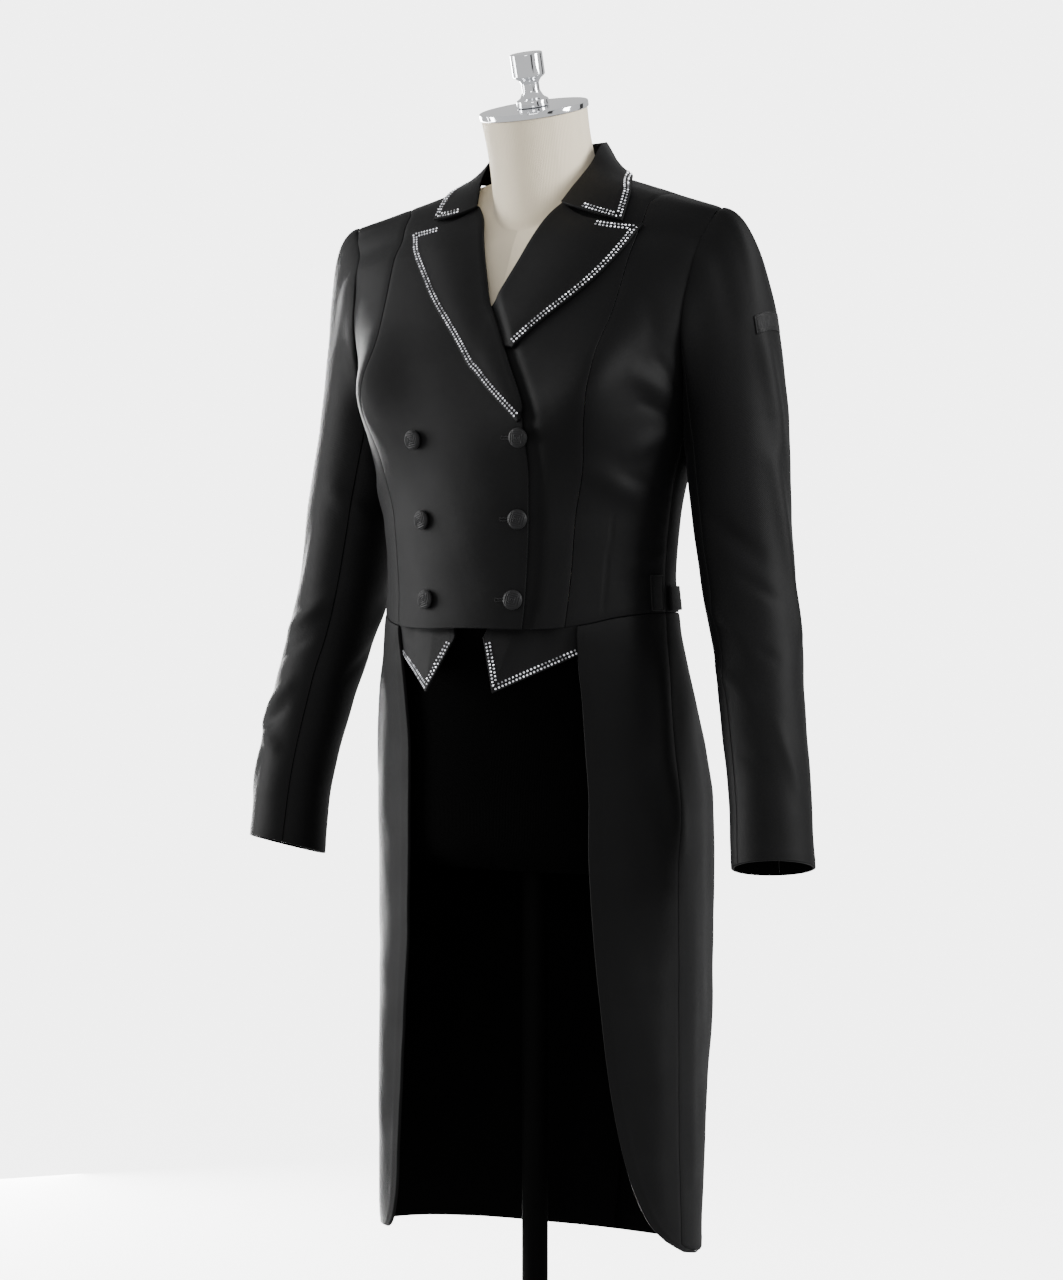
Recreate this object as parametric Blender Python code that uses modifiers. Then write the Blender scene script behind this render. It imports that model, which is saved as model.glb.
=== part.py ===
"""A women's riding tailcoat, worn by a limbless dress form on a round base.

World frame: metres, +Z up, floor at z = 0, the coat's front faces -Y and the wearer's left is +X.
The coat's outer face is one surface read by angle (degrees round from the centre front, counted
towards a piece's own side) and level (metres above the floor, at the middle of the ring). Each
cloth piece is a wall bent onto that surface between its own seams.
"""
import bpy
import bmesh
from collections import namedtuple
from functools import lru_cache
from math import asin, copysign, cos, degrees, exp, pi, radians, sin, sqrt
from mathutils import Matrix, Vector

RIGHT, LEFT = -1, 1

WALL = 0.0020            # cloth, two layers pressed together
LAPEL_WALL = 0.0018
SEAM = 0.0003            # gap between two sewn pieces
LAP_GAP = 0.0008         # gap between cloth that lies on cloth
WAIST_LEVEL = 0.978
ARMPIT_LEVEL = 1.155
SHOULDER_LEVEL = 1.398
NECK_BLEND_LEVEL = 1.320
RIDGE_TUCK = 0.00008     # how far below the shoulder line a panel stops
SHOULDER_HALF = 0.1956   # neck centre to shoulder tip
RIDGE_BACK = 0.049       # the shoulder line lies this far behind the axis at the neck
RIDGE_SWEEP = 0.246      # and comes forward by this share of its run
RIDGE_NORMAL = Vector((0.292, 0.0, 0.956))

BASE_RADIUS = 0.165
BASE_HEIGHT = 0.009
POLE_RADIUS = 0.012
HIPS_BOTTOM = 0.742
FORM_SPLIT = 0.988
FORM_INSET = 0.0098
SHOULDER_INSET = 0.0029  # the cloth rests on the form along the shoulder line
NECK_BASE, NECK_TOP = 0.0490, 0.0490
NECK_BACK = 0.0200       # the neck's foot stands this far behind the axis
PLATE_CENTRE = Vector((0.0, -0.002, 1.4366))
PLATE_TILT = radians(15.5)
PLATE_RADIUS = 0.0505
PLATE_THICK = 0.006

BUTTON_RADIUS = 0.0085
BUTTON_HEIGHT = 0.0048

# The rings of the coat: half width, depth in front of and behind the axis, squareness of each
# half, share of the shoulder line's sweep, and fall from the middle to the shoulder tip.
Ring = namedtuple("Ring", "level half front back front_square back_square ridge fall")
RINGS = [
    Ring(0.385, 0.1610, 0.0800, 0.1120, 2.20, 2.20, 0.00, 0.0000),
    Ring(0.528, 0.1585, 0.0800, 0.1390, 2.20, 2.20, 0.00, 0.0000),
    Ring(0.620, 0.1600, 0.0800, 0.1536, 2.20, 2.20, 0.00, 0.0000),
    Ring(0.713, 0.1616, 0.0805, 0.1537, 2.20, 2.20, 0.00, 0.0000),
    Ring(0.805, 0.1625, 0.0820, 0.1510, 2.20, 2.20, 0.00, 0.0000),
    Ring(0.851, 0.1600, 0.0860, 0.1375, 2.15, 2.15, 0.00, 0.0000),
    Ring(0.897, 0.1560, 0.0950, 0.1110, 2.10, 2.10, 0.00, 0.0000),
    Ring(0.940, 0.1500, 0.1090, 0.0890, 2.05, 2.05, 0.00, 0.0000),
    Ring(0.965, 0.1465, 0.1165, 0.0810, 2.00, 2.05, 0.00, 0.0000),
    Ring(1.011, 0.1436, 0.1150, 0.0730, 2.00, 2.00, 0.00, 0.0000),
    Ring(1.060, 0.1470, 0.1165, 0.0780, 2.00, 2.00, 0.00, 0.0000),
    Ring(1.100, 0.1530, 0.1175, 0.0900, 2.10, 2.10, 0.00, 0.0000),
    Ring(1.140, 0.1610, 0.1205, 0.1000, 2.20, 2.20, 0.00, 0.0000),
    Ring(1.155, 0.1630, 0.1185, 0.1030, 2.30, 2.30, 0.00, 0.0000),
    Ring(1.200, 0.1720, 0.1050, 0.1045, 2.45, 2.50, 0.05, 0.0020),
    Ring(1.250, 0.1880, 0.0865, 0.0920, 2.35, 2.60, 0.20, 0.0090),
    Ring(1.290, 0.1950, 0.0770, 0.0790, 2.10, 2.60, 0.40, 0.0185),
    Ring(1.320, 0.1990, 0.0720, 0.0670, 1.85, 2.50, 0.60, 0.0276),
    Ring(1.350, 0.2010, 0.0610, 0.0520, 1.60, 2.40, 0.78, 0.0384),
    Ring(1.375, 0.2015, 0.0480, 0.0360, 1.60, 2.20, 0.92, 0.0489),
    Ring(1.390, 0.2015, 0.0300, 0.0220, 1.80, 2.10, 1.00, 0.0559),
    Ring(1.398, 0.2015, 0.0000, 0.0000, 2.00, 2.00, 1.00, 0.0597),
]

# The bust: height, the angle and level of its point, and its spread in both.
Bust = namedtuple("Bust", "height angle level angle_spread level_spread")
BUST = Bust(0.018, 37.0, 1.180, 15.0, 0.050)

# Seams and edges, each an angle at a level.
Seam = namedtuple("Seam", "level angle")
FRONT_EDGE = [
    Seam(0.960, -20.0), Seam(1.007, -23.2), Seam(1.052, -24.0), Seam(1.096, -22.6),
    Seam(1.144, -18.9), Seam(1.166, -15.5), Seam(1.194, -9.1), Seam(1.236, -2.1),
    Seam(1.251, 0.0), Seam(1.271, 2.0), Seam(1.298, 5.7), Seam(1.326, 10.6),
    Seam(1.352, 17.0), Seam(1.380, 22.5), Seam(1.398, 24.0),
]
PRINCESS = [
    Seam(0.960, 35.5), Seam(1.021, 40.5), Seam(1.056, 41.0), Seam(1.100, 42.0),
    Seam(1.148, 39.6), Seam(1.180, 36.8), Seam(1.216, 35.8), Seam(1.260, 37.4),
    Seam(1.305, 40.0), Seam(1.358, 44.5), Seam(1.398, 43.6),
]
ARMHOLE_FRONT = [
    Seam(1.155, 90.0), Seam(1.160, 88.0), Seam(1.175, 84.8), Seam(1.197, 79.9),
    Seam(1.225, 71.5), Seam(1.244, 67.6), Seam(1.276, 65.4), Seam(1.314, 65.6),
    Seam(1.347, 68.1), Seam(1.375, 72.0), Seam(1.398, 76.1),
]
ARMHOLE_BACK = [
    Seam(1.155, 90.0), Seam(1.160, 93.5), Seam(1.175, 98.5), Seam(1.200, 106.0),
    Seam(1.225, 113.0), Seam(1.250, 118.0), Seam(1.300, 120.5), Seam(1.350, 117.0),
    Seam(1.375, 112.0), Seam(1.398, 103.9),
]
SIDE_SEAM = [
    Seam(0.400, 86.0), Seam(0.800, 81.0), Seam(0.883, 80.0), Seam(0.918, 82.0),
    Seam(0.978, 85.5), Seam(1.088, 86.5), Seam(1.155, 90.0),
]
SIDE_BACK_SEAM = [
    Seam(0.960, 157.0), Seam(1.011, 155.5), Seam(1.060, 152.0), Seam(1.100, 148.0),
    Seam(1.155, 141.0), Seam(1.200, 134.0), Seam(1.235, 126.0), Seam(1.250, 121.5),
]
SIDE_BACK_TOP = 1.2405   # the side back ends here, in the narrow angle below the armhole

# The cutaway edge of each tail, from the waist to the rounded corner at the hem.
TailEdge = namedtuple("TailEdge", "level left right")
TAIL_EDGE = [
    TailEdge(0.400, 97.0, 52.5), TailEdge(0.403, 90.0, 49.6), TailEdge(0.408, 83.0, 47.4),
    TailEdge(0.418, 72.0, 45.6), TailEdge(0.435, 62.4, 44.0), TailEdge(0.473, 53.5, 42.6),
    TailEdge(0.518, 47.8, 41.4), TailEdge(0.571, 43.3, 39.4), TailEdge(0.625, 40.1, 36.8),
    TailEdge(0.678, 37.4, 34.6), TailEdge(0.723, 35.8, 33.8), TailEdge(0.767, 35.0, 33.0),
    TailEdge(0.847, 35.6, 32.8), TailEdge(0.925, 38.6, 35.0), TailEdge(0.978, 42.0, 38.0),
]
HEM_RUN = 0.150
HEM_BACK_DROP, HEM_RIGHT_RISE = 0.0060, 0.0070
VENT_LAP = 0.034         # left tail over right at the centre back
VENT_RUN = 0.030         # the right tail sinks over this width
TUCK_RUN = 0.018         # the left front sinks over this width beside the right front's edge
TUCK_LEAD = 0.006        # and is fully sunk this far before it
TUCK_DEPTH = 0.0034      # outer face to outer face of two layers

# The outer edge of each lapel. The left one comes out from under the right front at its foot.
LapelEdge = namedtuple("LapelEdge", "level left right")
LAPEL_EDGE = [
    LapelEdge(1.148, -17.0, -18.5), LapelEdge(1.167, -8.6, -10.2), LapelEdge(1.195, 1.6, -0.4),
    LapelEdge(1.2115, 7.6, 4.0), LapelEdge(1.243, 15.6, 11.6), LapelEdge(1.271, 25.6, 19.0),
    LapelEdge(1.301, 33.8, 27.4), LapelEdge(1.316, 38.4, 32.0), LapelEdge(1.3495, 45.4, 40.6),
]
LapelSpan = namedtuple("LapelSpan", "roll_start roll_end edge_start edge_end")
LAPEL_SPAN = {
    "right": LapelSpan(1.158, 1.354, 1.154, 1.3500),
    "left": LapelSpan(1.2165, 1.354, 1.2145, 1.3485),
}
LAPEL_DIP = 0.0105
LAPEL_ROLL_HEIGHT = 0.0024

# The levels at which every bodice panel has a row of points, so that seams match.
BODICE_LEVELS = [
    0.978, 0.992, 1.012, 1.036, 1.062, 1.088, 1.112, 1.134, 1.155, 1.160, 1.175, 1.192, 1.214,
    1.240, 1.255, 1.270, 1.300, 1.328, 1.352, 1.373, 1.388, 1.398,
]
TAIL_LEVELS = [
    0.400, 0.4025, 0.408, 0.418, 0.435, 0.460, 0.495, 0.540, 0.590, 0.645, 0.705, 0.765, 0.820,
    0.865, 0.905, 0.942, 0.9777,
]

# The bottom edge of the fronts and the waist seam, by angle.
Waist = namedtuple("Waist", "angle level")
WAIST_LINE = [
    Waist(-30.0, 0.9625), Waist(0.0, 0.9640), Waist(20.0, 0.9630), Waist(30.0, 0.9635),
    Waist(45.0, 0.9680), Waist(60.0, 0.9745), Waist(80.0, 0.9780), Waist(180.0, 0.9780),
]
# The back neckline, by angle.
NECKLINE = [
    Waist(150.0, 1.3980), Waist(158.0, 1.3960), Waist(163.0, 1.3905), Waist(169.0, 1.3835),
    Waist(180.0, 1.3765),
]

# The sleeve's centre line and radius from the biceps to the cuff.
SleeveRing = namedtuple("SleeveRing", "level across forward radius")
SLEEVE_RINGS = [
    SleeveRing(0.7550, 0.2619, 0.0255, 0.0372), SleeveRing(0.8140, 0.2564, 0.0213, 0.0362),
    SleeveRing(0.9020, 0.2412, 0.0082, 0.0380), SleeveRing(0.9460, 0.2320, -0.0017, 0.0400),
    SleeveRing(0.9900, 0.2220, -0.0060, 0.0415), SleeveRing(1.0860, 0.2067, -0.0137, 0.0455),
    SleeveRing(1.1500, 0.1975, -0.0215, 0.0485), SleeveRing(1.1800, 0.1935, -0.0225, 0.0495),
]
BICEPS_LEVEL = 1.150
CUFF_LEVEL = 0.7550
FOREARM_SEAM, HINDARM_SEAM = 0.33, 0.70
HEAD_ROWS = [0.0, 0.08, 0.18, 0.32, 0.50, 0.74, 1.0]
ARM_LEVELS = [
    1.122, 1.088, 1.052, 1.018, 0.986, 0.958, 0.934, 0.908, 0.880, 0.848, 0.804, 0.755,
]
CUFF_NORMAL = Vector((-0.1415, 0.226, 1.0)).normalized()
CUFF_TILT_RUN = 0.070
HEAD_LEAVE, HEAD_ARRIVE, HEAD_DROP = 0.62, 0.90, 0.70

# Large soft folds: a ridge (or a trough, if negative) between two points of the surface.
Fold = namedtuple("Fold", "side angle level to_angle to_level width height")
BODY_FOLDS = [
    Fold(LEFT, 77.0, 1.168, 56.0, 1.190, 0.010, 0.0035),
    Fold(LEFT, 82.0, 1.140, 60.0, 1.120, 0.010, 0.0025),
    Fold(LEFT, 70.0, 1.075, 44.0, 1.106, 0.011, 0.0025),
    Fold(RIGHT, 74.0, 1.165, 54.0, 1.185, 0.010, 0.0030),
    Fold(RIGHT, 72.0, 1.070, 48.0, 1.100, 0.011, 0.0025),
    Fold(LEFT, 77.0, 0.935, 73.0, 0.850, 0.012, 0.0040),
    Fold(LEFT, 73.0, 0.850, 84.0, 0.770, 0.012, 0.0040),
    Fold(RIGHT, 76.0, 0.935, 70.0, 0.840, 0.012, 0.0035),
    Fold(LEFT, 106.0, 0.860, 112.0, 0.560, 0.020, -0.0030),
    Fold(RIGHT, 106.0, 0.860, 112.0, 0.540, 0.020, -0.0030),
    Fold(LEFT, 66.0, 0.640, 74.0, 0.440, 0.020, 0.0035),
    Fold(RIGHT, 60.0, 0.640, 66.0, 0.430, 0.020, 0.0035),
    Fold(LEFT, 140.0, 0.860, 146.0, 0.480, 0.024, 0.0045),
    Fold(RIGHT, 142.0, 0.840, 138.0, 0.470, 0.024, 0.0045),
    Fold(LEFT, 128.0, 1.150, 150.0, 1.110, 0.012, 0.0025),
    Fold(RIGHT, 130.0, 1.145, 152.0, 1.115, 0.012, 0.0025),
]
# Sleeve folds: round is the share of a turn from the outer side towards the front.
SleeveFold = namedtuple("SleeveFold", "side round level to_round to_level width height")
SLEEVE_FOLDS = [
    SleeveFold(LEFT, 0.06, 1.225, 0.02, 1.130, 0.010, 0.0040),
    SleeveFold(LEFT, 0.05, 1.110, -0.03, 0.960, 0.009, 0.0040),
    SleeveFold(LEFT, 0.28, 1.060, 0.14, 1.030, 0.009, -0.0030),
    SleeveFold(LEFT, 0.36, 0.985, 0.20, 0.950, 0.009, 0.0035),
    SleeveFold(LEFT, 0.38, 0.930, 0.22, 0.905, 0.009, 0.0030),
    SleeveFold(LEFT, 0.68, 0.990, 0.55, 0.950, 0.010, 0.0030),
    SleeveFold(RIGHT, 0.30, 0.985, 0.14, 0.960, 0.009, 0.0035),
    SleeveFold(RIGHT, 0.22, 0.905, 0.08, 0.872, 0.009, 0.0042),
    SleeveFold(RIGHT, 0.08, 0.872, 0.22, 0.850, 0.008, 0.0035),
    SleeveFold(RIGHT, 0.12, 0.850, 0.06, 0.800, 0.008, 0.0030),
    SleeveFold(RIGHT, 0.40, 1.060, 0.26, 1.090, 0.010, 0.0030),
    SleeveFold(RIGHT, 0.66, 1.000, 0.55, 0.965, 0.010, 0.0030),
]

# The collar at shares of its half length. The seam and the outer edge give only where they
# stand: their height is the coat's own.
CollarStation = namedtuple("CollarStation", "share seam roll middle edge")
COLLAR = [
    CollarStation(0.00, (0.0000, 0.0770), (0.0000, 0.0745, 1.4120),
                  (0.0000, 0.0870, 1.3960), (0.0000, 0.0905)),
    CollarStation(0.22, (0.0430, 0.0640), (0.0385, 0.0585, 1.4110),
                  (0.0445, 0.0690, 1.3960), (0.0560, 0.0790)),
    CollarStation(0.34, (0.0590, 0.0490), (0.0480, 0.0420, 1.4090),
                  (0.0560, 0.0490, 1.3940), (0.0740, 0.0570)),
    CollarStation(0.45, (0.0680, 0.0330), (0.0550, 0.0240, 1.4050),
                  (0.0640, 0.0250, 1.3900), (0.0880, 0.0280)),
    CollarStation(0.62, (0.0690, 0.0130), (0.0565, 0.0065, 1.3870),
                  (0.0690, 0.0020, 1.3770), (0.0985, 0.0050)),
    CollarStation(0.82, (0.0620, -0.0060), (0.0525, -0.0105, 1.3690),
                  (0.0730, -0.0160, 1.3640), (0.1065, -0.0110)),
    CollarStation(1.00, (0.0540, -0.0180), (0.0462, -0.0235, 1.3530),
                  (0.0720, -0.0330, 1.3475), (0.1070, -0.0290)),
]
COLLAR_REST = 0.0025     # height of its edge over the coat

STAND_SHARE = 0.36       # share of the collar's width that is its stand

# The band over the back, between the side seams.
HALF_BELT_LEVELS = (0.9797, 1.0015)
HALF_BELT_START = 88.0

# The false waistcoat points: where their foot hangs below the front hem.
VEST_TOP_LEVEL = 0.982
VEST_ANGLES = (7.0, 43.0)
VEST_CLEAR = 0.0042      # they lie this much deeper where the two fronts overlap
VEST_CLEAR_ANGLES = (28.0, 37.0)
VEST_HIDDEN = 0.8        # rows up to here hang below the hem, the rest lie behind it
VEST_POINT = {"inner": (0.0149, -0.1120, 0.9560), "tip": (0.0355, -0.1290, 0.9070),
              "outer": (0.0975, -0.0760, 0.9420)}
VEST_TIP_SHARE = 0.3

# The two blank tabs: the label by its angles and levels, the sleeve patch by turn and row.
TAB_WALL = 0.0009
LABEL_ANGLES = (75.3, 83.0)
LABEL_LEVELS = (0.9795, 1.0116)
PATCH_TURNS = (-0.080, 0.050)
PATCH_ROWS = (0.775, 0.700)

# The two columns of buttons: height and distance from the centre front.
ButtonRow = namedtuple("ButtonRow", "level across")
BUTTON_ROWS = [ButtonRow(1.1330, 0.0548), ButtonRow(1.0610, 0.0505), ButtonRow(0.9895, 0.0458)]


def collection_named(name):
    made = bpy.data.collections.new(name)
    bpy.context.scene.collection.children.link(made)
    return made


def material(name, colour, roughness, metallic=0.0):
    made = bpy.data.materials.new(name)
    made.use_nodes = True
    shader = made.node_tree.nodes["Principled BSDF"]
    shader.inputs["Base Color"].default_value = (*colour, 1.0)
    shader.inputs["Roughness"].default_value = roughness
    shader.inputs["Metallic"].default_value = metallic
    made.diffuse_color = (*colour, 1.0)
    return made


def add_object(name, bm, finish):
    """Close the bmesh into a named object of the coat's collection, smooth, faces out."""
    bmesh.ops.recalc_face_normals(bm, faces=bm.faces)
    if bm.calc_volume(signed=True) < 0:
        bmesh.ops.reverse_faces(bm, faces=bm.faces)
    mesh = bpy.data.meshes.new(name)
    bm.to_mesh(mesh)
    bm.free()
    mesh.shade_smooth()
    mesh.set_sharp_from_angle(angle=radians(40))
    made = bpy.data.objects.new(name, mesh)
    mesh.materials.append(finish)
    COAT.objects.link(made)
    return made


def slope_between(rows, field, at):
    """Slope of a table column at a row, flattened where the column turns."""
    def run(first, second):
        rise = getattr(rows[second], field) - getattr(rows[first], field)
        return rise / (rows[second][0] - rows[first][0])
    if at == 0:
        return run(0, 1)
    if at == len(rows) - 1:
        return run(at - 1, at)
    before, after = run(at - 1, at), run(at, at + 1)
    return 0.0 if before * after <= 0 else 2 * before * after / (before + after)


def read_table(rows, field, key):
    """A column of a table read smoothly between its rows. The first column is the key."""
    if key <= rows[0][0]:
        return getattr(rows[0], field)
    if key >= rows[-1][0]:
        return getattr(rows[-1], field)
    at = max(i for i in range(len(rows) - 1) if rows[i][0] <= key)
    span = rows[at + 1][0] - rows[at][0]
    s = (key - rows[at][0]) / span
    start, end = getattr(rows[at], field), getattr(rows[at + 1], field)
    leave = slope_between(rows, field, at) * span
    arrive = slope_between(rows, field, at + 1) * span
    return ((2 * s**3 - 3 * s**2 + 1) * start + (s**3 - 2 * s**2 + s) * leave
            + (3 * s**2 - 2 * s**3) * end + (s**3 - s**2) * arrive)


@lru_cache(maxsize=None)
def ring_at(level):
    return Ring(*([level] + [read_table(RINGS, field, level) for field in Ring._fields[1:]]))


def seam_angle(seam, level):
    return read_table(seam, "angle", level)


def smooth_step(value):
    s = min(1.0, max(0.0, value))
    return s * s * (3 - 2 * s)


@lru_cache(maxsize=None)
def body_point(angle, level):
    """The coat's plain outer surface on the wearer's left."""
    ring = ring_at(level)
    across, ahead = sin(radians(angle)), cos(radians(angle))
    square = ring.front_square if ahead >= 0 else ring.back_square
    depth = ring.front if ahead >= 0 else ring.back
    x = ring.half * copysign(abs(across) ** (2 / square), across)
    middle = ring.ridge * (RIDGE_BACK - RIDGE_SWEEP * abs(x))
    y = middle - depth * copysign(abs(ahead) ** (2 / square), ahead)
    bust = BUST.height * exp(-((abs(angle) - BUST.angle) / BUST.angle_spread) ** 2
                             - ((level - BUST.level) / BUST.level_spread) ** 2)
    x += copysign(bust * sin(radians(BUST.angle)), angle)
    y -= bust * cos(radians(BUST.angle))
    return Vector((x, y, level - ring.fall * abs(x) / SHOULDER_HALF))


@lru_cache(maxsize=None)
def body_normal(angle, level):
    """Outward normal, turned to the shoulder line's own near the shoulder seam."""
    held = min(level, 1.391)
    step_angle, step_level = 0.5, 0.0015
    low = max(held - step_level, RINGS[0].level)
    if abs(angle) < 90.0 < abs(angle) + step_angle or abs(angle) > 90.0 > abs(angle) - step_angle:
        step_angle = 0.45
    round_way = body_point(angle + step_angle, held) - body_point(angle - step_angle, held)
    up_way = body_point(angle, held + step_level) - body_point(angle, low)
    normal = round_way.cross(up_way).normalized()
    if level > held:
        ridge = RIDGE_NORMAL.copy()
        ridge.x = copysign(ridge.x, angle)
        normal = normal.lerp(ridge, smooth_step((level - held) / (SHOULDER_LEVEL - held)))
    return normal.normalized()


def metres_per_degree(angle, level):
    return (body_point(angle + 1.0, level) - body_point(angle, level)).length


def ridge_height(offset_along, offset_across, length, width, height):
    """A soft ridge of this length: full in the middle, fading at both ends."""
    share = min(1.0, max(0.0, offset_along / length))
    beyond = offset_along - share * length
    fade = sqrt(max(0.0, sin(pi * (0.08 + 0.84 * share))))
    return height * fade * exp(-(offset_across**2 + beyond**2) / width**2)


@lru_cache(maxsize=None)
def body_relief(side, angle, level):
    """How far the cloth's folds stand off the plain surface."""
    total = 0.0
    for fold in BODY_FOLDS:
        if fold.side != side:
            continue
        scale = metres_per_degree(fold.angle, fold.level)
        run = Vector(((fold.to_angle - fold.angle) * scale, fold.to_level - fold.level))
        here = Vector(((angle - fold.angle) * scale, level - fold.level))
        heading = run.normalized()
        across = here.x * heading.y - here.y * heading.x
        total += ridge_height(here.dot(heading), across, run.length, fold.width, fold.height)
    return total


def on_coat(side, angle, level, lift=0.0):
    """A point of the coat on one side, lifted off its outer face (or sunk, if negative)."""
    point = body_point(angle, level) + body_normal(angle, level) * (lift + body_relief(side, angle, level))
    return Vector((side * point.x, point.y, point.z))


def slab(columns, rows):
    """A unit block of cells, one cell thick, ready to be bent into a wall."""
    bm = bmesh.new()
    bmesh.ops.create_grid(bm, x_segments=columns, y_segments=rows, size=0.5,
                          matrix=Matrix.Translation((0.5, 0.5, 0.0)))
    raised = bmesh.ops.extrude_face_region(bm, geom=bm.faces[:])
    bmesh.ops.translate(bm, vec=(0.0, 0.0, 1.0),
                        verts=[item for item in raised["geom"] if isinstance(item, bmesh.types.BMVert)])
    return bm


def bent_wall(name, columns, rows, place, finish):
    """A wall whose every point is place(share across, share up, share through)."""
    bm = slab(columns, rows)
    for vert in bm.verts:
        vert.co = place(*vert.co)
    return add_object(name, bm, finish)


def at_row(levels, share):
    """The level of a share of the rows, read straight between listed rows."""
    position = share * (len(levels) - 1)
    row = min(int(position + 1e-6), len(levels) - 2)
    return levels[row] + (levels[row + 1] - levels[row]) * (position - row)


def waist_shift(angle, level):
    """Near the waist the rows bend down to the waist line."""
    dip = read_table(WAIST_LINE, "level", angle) - WAIST_LEVEL
    return dip * smooth_step(1 - (level - WAIST_LEVEL) / 0.040)


def neck_shift(angle, level):
    """Near the shoulder the rows of the back bend down to the neckline."""
    if angle <= NECKLINE[0].angle or level <= NECK_BLEND_LEVEL:
        return 0.0
    dip = read_table(NECKLINE, "level", angle) - SHOULDER_LEVEL
    return dip * (level - NECK_BLEND_LEVEL) / (SHOULDER_LEVEL - NECK_BLEND_LEVEL)


def between(inner, outer, share, level, gap=SEAM / 2):
    """The angle at a share of the way between two seams, clear of both by half a gap."""
    first = inner + gap / metres_per_degree(inner, level)
    last = outer - gap / metres_per_degree(outer, level)
    return first + (last - first) * share


def bodice_panel(name, side, inner, outer, levels, columns, finish, depth=None, spread=None):
    """A panel of the bodice between two seams, given as angles at a level."""
    def place(across, up, through):
        row = at_row(levels, up)
        share = spread(across, inner(row), outer(row), row) if spread else across
        angle = between(inner(row), outer(row), share, row)
        level = row + waist_shift(angle, row) + neck_shift(angle, row)
        level = min(level + (SEAM / 2 if up == 0 else 0.0), SHOULDER_LEVEL - RIDGE_TUCK)
        sunk = depth(angle, level) if depth else 0.0
        return on_coat(side, angle, level, -sunk - WALL * through)
    return bent_wall(name, columns, len(levels) - 1, place, finish)


def left_front_tuck(angle, level):
    """How deep a left piece lies under the right front, easing out beside its edge."""
    edge = -seam_angle(FRONT_EDGE, level)
    under = (edge - angle) * metres_per_degree(angle, level)
    return TUCK_DEPTH * smooth_step((under + TUCK_RUN) / (TUCK_RUN - TUCK_LEAD))


def left_front_share(share, inner, outer, level):
    """Columns of the left front set close beside the right front's edge."""
    edge = (-seam_angle(FRONT_EDGE, level) - inner) / (outer - inner)
    step = TUCK_RUN / metres_per_degree(10.0, level) / (outer - inner)
    edge = min(max(edge, 0.12), 0.70)
    stops = [(0.0, 0.0), (3 / 8, edge), (6 / 8, min(edge + step, 0.90)), (1.0, 1.0)]
    for (low, start), (high, end) in zip(stops, stops[1:]):
        if share <= high + 1e-6:
            return start + (end - start) * (share - low) / (high - low)
    return share


def make_bodice(finish):
    def edge(level):
        return seam_angle(FRONT_EDGE, level)

    def princess(level):
        return seam_angle(PRINCESS, level)

    def centre_back(level):
        return 180.0

    def front_outer(level):
        return seam_angle(SIDE_SEAM if level <= ARMPIT_LEVEL else ARMHOLE_FRONT, level)

    def back_outer(level):
        return seam_angle(SIDE_SEAM if level <= ARMPIT_LEVEL else ARMHOLE_BACK, level)

    def back_inner(level):
        return seam_angle(SIDE_BACK_SEAM if level <= SIDE_BACK_TOP else ARMHOLE_BACK, level)

    low = [level for level in BODICE_LEVELS if level <= SIDE_BACK_TOP]
    bodice_panel("right_front", RIGHT, edge, princess, BODICE_LEVELS, 8, finish)
    bodice_panel("left_front", LEFT, edge, princess, BODICE_LEVELS, 8, finish,
                 left_front_tuck, left_front_share)
    for side, word in ((RIGHT, "right"), (LEFT, "left")):
        bodice_panel(word + "_side_front", side, princess, front_outer, BODICE_LEVELS, 5, finish)
        bodice_panel(word + "_side_back", side, back_outer, back_inner, low, 6, finish)
        bodice_panel(word + "_back", side, back_inner, centre_back, BODICE_LEVELS, 6, finish)


def make_tails(finish):
    """Four tail panels: front edge to side seam, and side seam to the centre back vent."""
    for side, word in ((RIGHT, "right"), (LEFT, "left")):
        def front(across, up, through, side=side, word=word):
            row = at_row(TAIL_LEVELS, up)
            angle = between(read_table(TAIL_EDGE, word, row), tail_seam(word, row), across, row)
            level = row + waist_shift_down(angle, row) + hem_shift(side, angle, row)
            return on_coat(side, angle, level, -WALL * through)
        bent_wall(word + "_skirt", 6, len(TAIL_LEVELS) - 1, front, finish)

        def back(across, up, through, side=side, word=word):
            row = at_row(TAIL_LEVELS, up)
            lap = VENT_LAP / metres_per_degree(170.0, row)
            share = across if side == LEFT else vent_share(across)
            angle = between(tail_seam(word, row), 180.0 + lap / 2, share, row)
            level = row + waist_shift_down(angle, row) + hem_shift(side, angle, row)
            depth = 0.0 if side == LEFT else vent_tuck(angle, level, lap)
            return on_coat(side, angle, level, -depth - WALL * through)
        bent_wall(word + "_back_skirt", 8, len(TAIL_LEVELS) - 1, back, finish)


def tail_seam(word, level):
    """The side seam of a tail, kept behind the rounded corner at the hem."""
    return max(seam_angle(SIDE_SEAM, level), read_table(TAIL_EDGE, word, level) + 6.0)


def vent_share(share):
    """Columns of the right tail set close where it sinks under the left one."""
    return share / 5 * 8 * 0.70 if share <= 5 / 8 else 0.70 + (share - 5 / 8) / 3 * 8 * 0.30


def waist_shift_down(angle, level):
    """The top row of a tail follows the waist line, just below the bodice."""
    dip = read_table(WAIST_LINE, "level", angle) - WAIST_LEVEL
    return dip * smooth_step((level - (WAIST_LEVEL - 0.060)) / 0.060)


def hem_shift(side, angle, level):
    """The hem as it hangs: lower at the back, and a little short at the wearer's right front."""
    near_hem = smooth_step(1 - (level - TAIL_LEVELS[0]) / HEM_RUN)
    back = HEM_BACK_DROP * smooth_step((angle - 110.0) / 60.0)
    front = HEM_RIGHT_RISE * smooth_step((130.0 - angle) / 60.0) if side == RIGHT else 0.0
    return (front - back) * near_hem


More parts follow.
